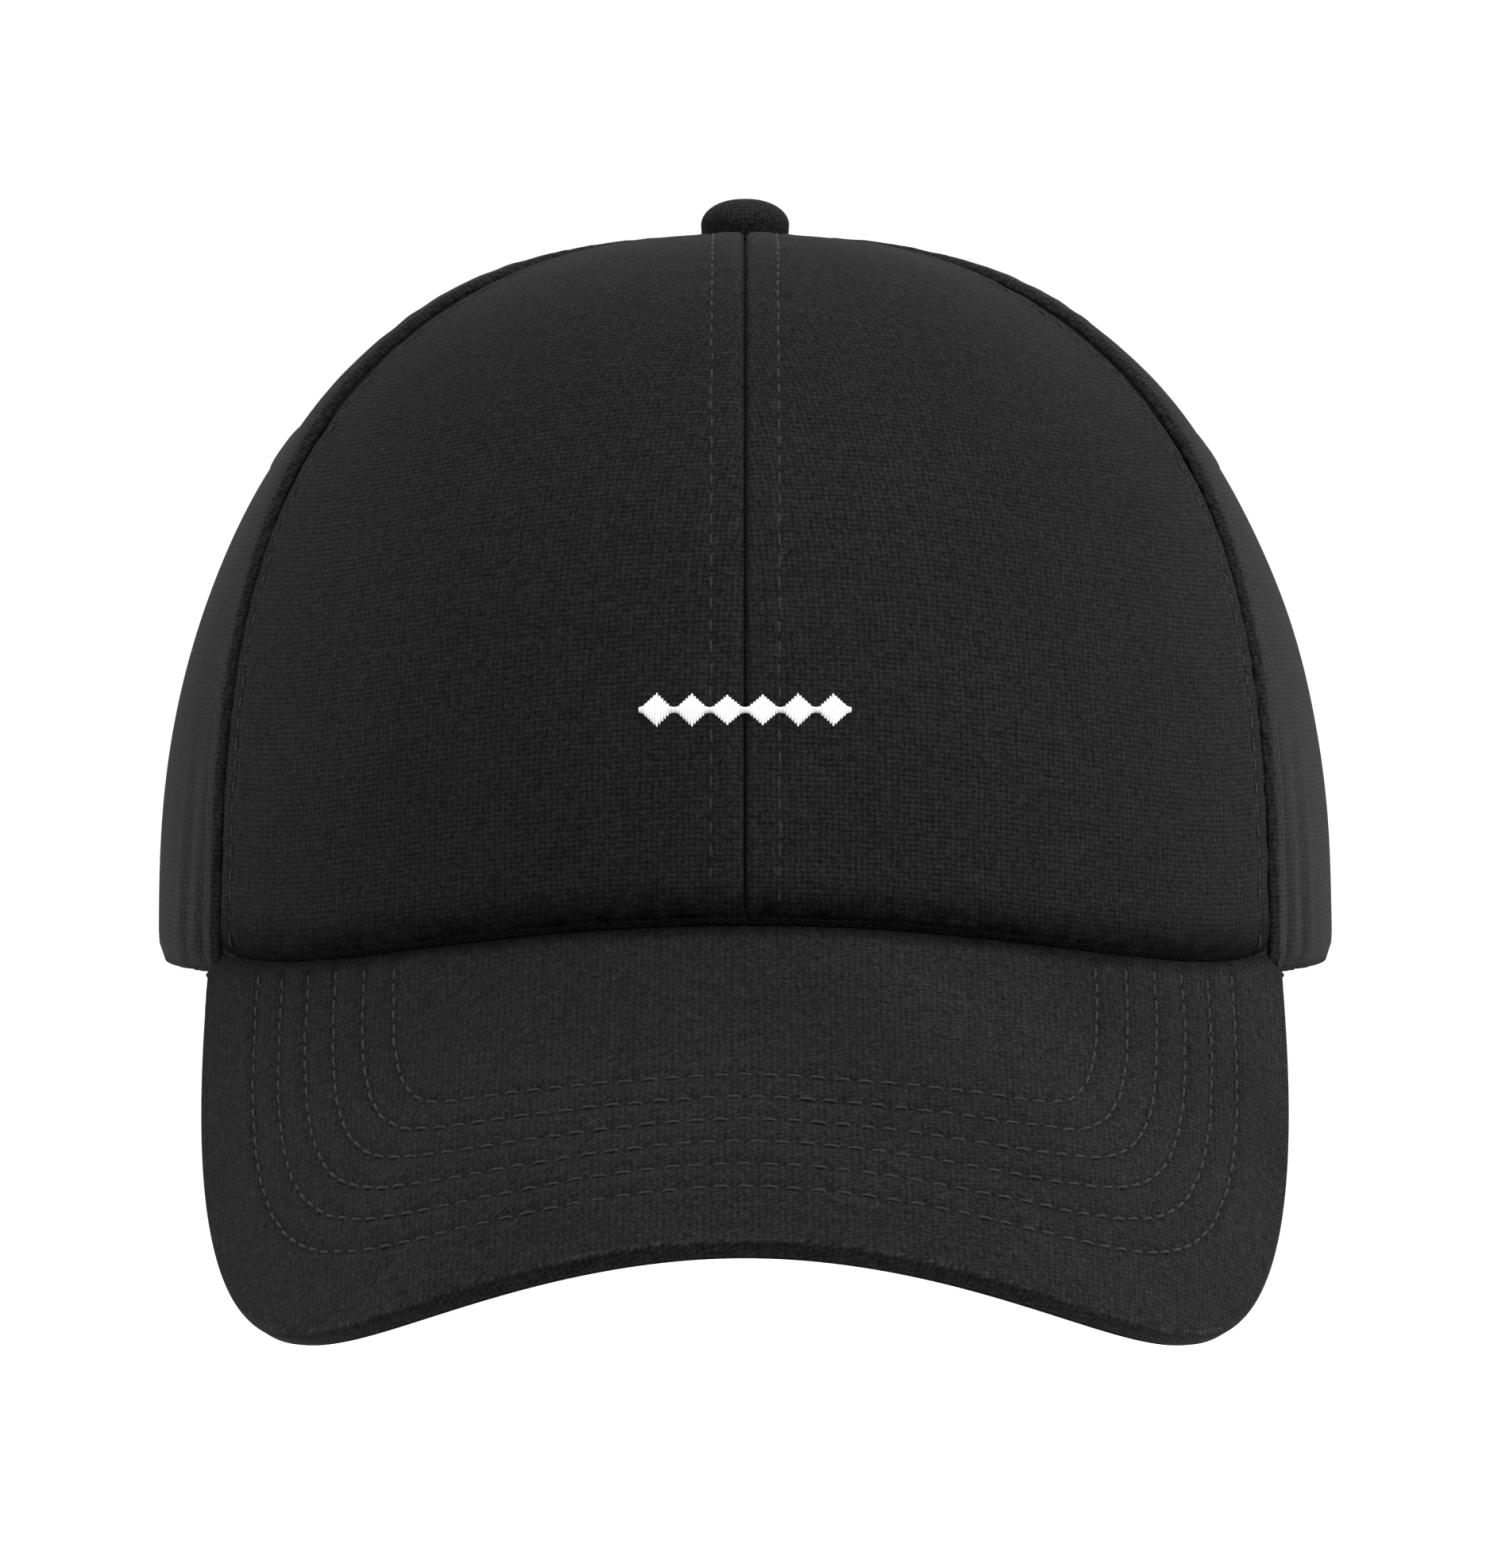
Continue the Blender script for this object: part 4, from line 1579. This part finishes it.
class CAP_OT_straps(bpy.types.Operator):
    """Makes the long strap, the short looped strap and their edge stitching"""

    bl_idname = "cap.straps"
    bl_label = "Straps"
    bl_options = {"REGISTER", "UNDO"}

    def execute(self, context):
        high = STRAP_HIGH - STRAP_LOW
        start, stop = -(OPENING_ARC + STRAP_TUCK), OPENING_ARC + STRAP_TAIL
        puff = lambda x, y: 0.10 * ridge(y, high / 2,
                                         7.0) - 0.12 * (ridge(y, 2.2, 0.5) + ridge(y, high - 2.2, 0.5))
        place = lambda along, across, depth: strap_point(
            LONG_OUTER - depth, mix(start, stop, along), STRAP_LOW + high * across)
        band_sheet("long_strap_cloth", place, 190, 40, 0.0, STRAP, "long_strap", "crown_cloth", "strap",
                   ("strap_long",), relief=puff, edge_round=0.42, long_edges=(stop - start, high),
                   wear=lambda x, y: 0.3 * ridge(y, 0.4, 0.5) + 0.3 * ridge(y, high - 0.4, 0.5))
        made = []
        arc = np.linspace(start + 1.5, stop - 1.5, 500)
        for k, z in enumerate((STRAP_LOW + 2.2, STRAP_HIGH - 2.2)):
            for way, radius in ((1, LONG_OUTER - 0.1), (-1, LONG_INNER + 0.1)):
                path = strap_point(radius, arc, z + 0 * arc)
                normal = unit(path - np.array([0, STRAP_AXIS, 0])
                              - np.stack([0 * arc, 0 * arc, path[:, 2]], -1))
                made.append(seam_stitches(context, path, way * normal, 260 + k))
        z = np.linspace(STRAP_LOW + 2.4, STRAP_HIGH - 2.4, 80)
        for way, radius in ((1, LONG_OUTER - 0.1), (-1, LONG_INNER + 0.1)):
            path = strap_point(radius, stop - 2.2 + 0 * z, z)
            normal = unit(path - np.array([0, STRAP_AXIS, 0]) - np.stack([0 * z, 0 * z, path[:, 2]], -1))
            made.append(seam_stitches(context, path, way * normal, 266))
        add_stitches("stitching_long_strap", made, "long_strap", "crown_cloth", MATERIALS["thread"])
        end = OPENING_ARC + STRAP_TUCK
        loop = BAR_RADIUS + GAP + STRAP / 2
        turn = np.linspace(0, np.pi, 26)
        radius = np.concatenate([np.full(60, BAR_CENTRE + loop), BAR_CENTRE + loop * np.cos(turn),
                                 np.full(12, BAR_CENTRE - loop)])
        arc = np.concatenate([np.linspace(end, BUCKLE_BAR, 61)[:-1], BUCKLE_BAR - loop * np.sin(turn),
                              BUCKLE_BAR + STRAP_RETURN * np.arange(1, 13) / 12])
        steps = np.concatenate([[0], np.cumsum(np.hypot(np.diff(radius), np.diff(arc)))])
        d_r, d_a = np.gradient(radius, steps), np.gradient(arc, steps)
        size = np.hypot(d_r, d_a)

        def looped(along, across, depth):
            at = along * steps[-1]
            r, a = np.interp(at, steps, radius), np.interp(at, steps, arc)
            n_r, n_a = np.interp(at, steps, -d_a / size), np.interp(at, steps, d_r / size)
            lift = STRAP / 2 - depth
            return strap_point(r + n_r * lift, a + n_a * lift, STRAP_LOW + high * across)

        band_sheet("short_strap_cloth", looped, 150, 40, 0.0, STRAP, "cap", "crown_cloth", "strap",
                   ("strap_short",), relief=lambda x, y: 0.6 * puff(x, y), edge_round=0.42,
                   long_edges=(steps[-1], high), wear=lambda x, y: 0.3 * ridge(y, 0.4, 0.5))
        along = np.linspace(0.01, 0.99, 500)
        made = []
        for k, share in enumerate((2.2 / high, 1 - 2.2 / high)):
            for depth, way in ((0.06, 1), (STRAP - 0.06, -1)):
                path = looped(along, share + 0 * along, depth)
                normal = (looped(along, share + 0 * along, depth - 0.5) - path) * way
                made.append(seam_stitches(context, path, unit(normal), 270 + k))
        add_stitches("stitching_short_strap", made, "cap", "crown_cloth", MATERIALS["thread"])
        return {"FINISHED"}


class CAP_OT_buckle(bpy.types.Operator):
    """Machines the buckle's frame, pin and lever"""

    bl_idname = "cap.buckle"
    bl_label = "Buckle"
    bl_options = {"REGISTER", "UNDO"}

    def execute(self, context):
        machined("buckle_frame_plated", "buckle_frame", "cap", "buckle", 0.16)
        machined("buckle_pin_turned", "buckle_pin", "cap", "steel", 0.08)
        machined("buckle_lever_plated", "buckle_lever", "lever", "buckle", 0.18)
        return {"FINISHED"}


class CAP_OT_motif(bpy.types.Operator):
    """Embroiders the row of plain lozenges on the front"""

    bl_idname = "cap.motif"
    bl_label = "Front motif"
    bl_options = {"REGISTER", "UNDO"}

    def execute(self, context):
        width = sewn(context).motif_thread / MM
        count = int(2 * MOTIF_HALF_WIDTH / (width * 0.86))
        x = np.linspace(-MOTIF_HALF_WIDTH + width / 2, MOTIF_HALF_WIDTH - width / 2, count)
        share = ((x + MOTIF_HALF_WIDTH) / (2 * MOTIF_HALF_WIDTH) * MOTIF_LOZENGES) % 1
        half = np.maximum(MOTIF_HALF_HEIGHT * (1 - np.abs(2 * share - 1)), 0.42)
        ends = []
        for way in (-1, 1):
            angle, t = face_coordinates(x, MOTIF_HEIGHT + way * half, False)
            ends.append(crown_point(angle, t, -0.14 + 0 * t))
        angle, t = face_coordinates(x, MOTIF_HEIGHT + 0 * x, False)
        bars = satin_bars(ends[0], ends[1], crown_normal(angle, t), width, 0.34)
        piece = add_stitches("motif_satin", [bars], "cap", "motif_thread", MATERIALS["motif"])
        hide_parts("front_motif")
        return {"FINISHED"}


PIECES = (
    CAP_OT_finishes, CAP_OT_stage, CAP_OT_front_panels, CAP_OT_side_panels, CAP_OT_back_panels,
    CAP_OT_crown_stitching, CAP_OT_eyelets, CAP_OT_button, CAP_OT_visor, CAP_OT_lining,
    CAP_OT_sweatband, CAP_OT_straps, CAP_OT_buckle, CAP_OT_motif,
)


class CAP_PT_pieces(bpy.types.Panel):
    """The cap's pieces, sizes and colours"""

    bl_label = "Cap"
    bl_idname = "CAP_PT_pieces"
    bl_space_type = "VIEW_3D"
    bl_region_type = "UI"
    bl_category = "Cap"

    def draw(self, context):
        for operator in PIECES:
            self.layout.operator(operator.bl_idname)
        for group in (context.scene.cap_sewing, context.scene.cap_colours):
            box = self.layout.box()
            for name in group.__annotations__:
                box.prop(group, name)


CLASSES = (CapSewing, CapColours, *PIECES, CAP_PT_pieces)


def register():
    for entry in CLASSES:
        bpy.utils.register_class(entry)
    bpy.types.Scene.cap_sewing = PointerProperty(type=CapSewing)
    bpy.types.Scene.cap_colours = PointerProperty(type=CapColours)


def unregister():
    del bpy.types.Scene.cap_colours
    del bpy.types.Scene.cap_sewing
    for entry in reversed(CLASSES):
        bpy.utils.unregister_class(entry)


def main():
    register()
    for operator in PIECES:
        group, call = operator.bl_idname.split(".")
        getattr(getattr(bpy.ops, group), call)()


if __name__ == "__main__":
    main()
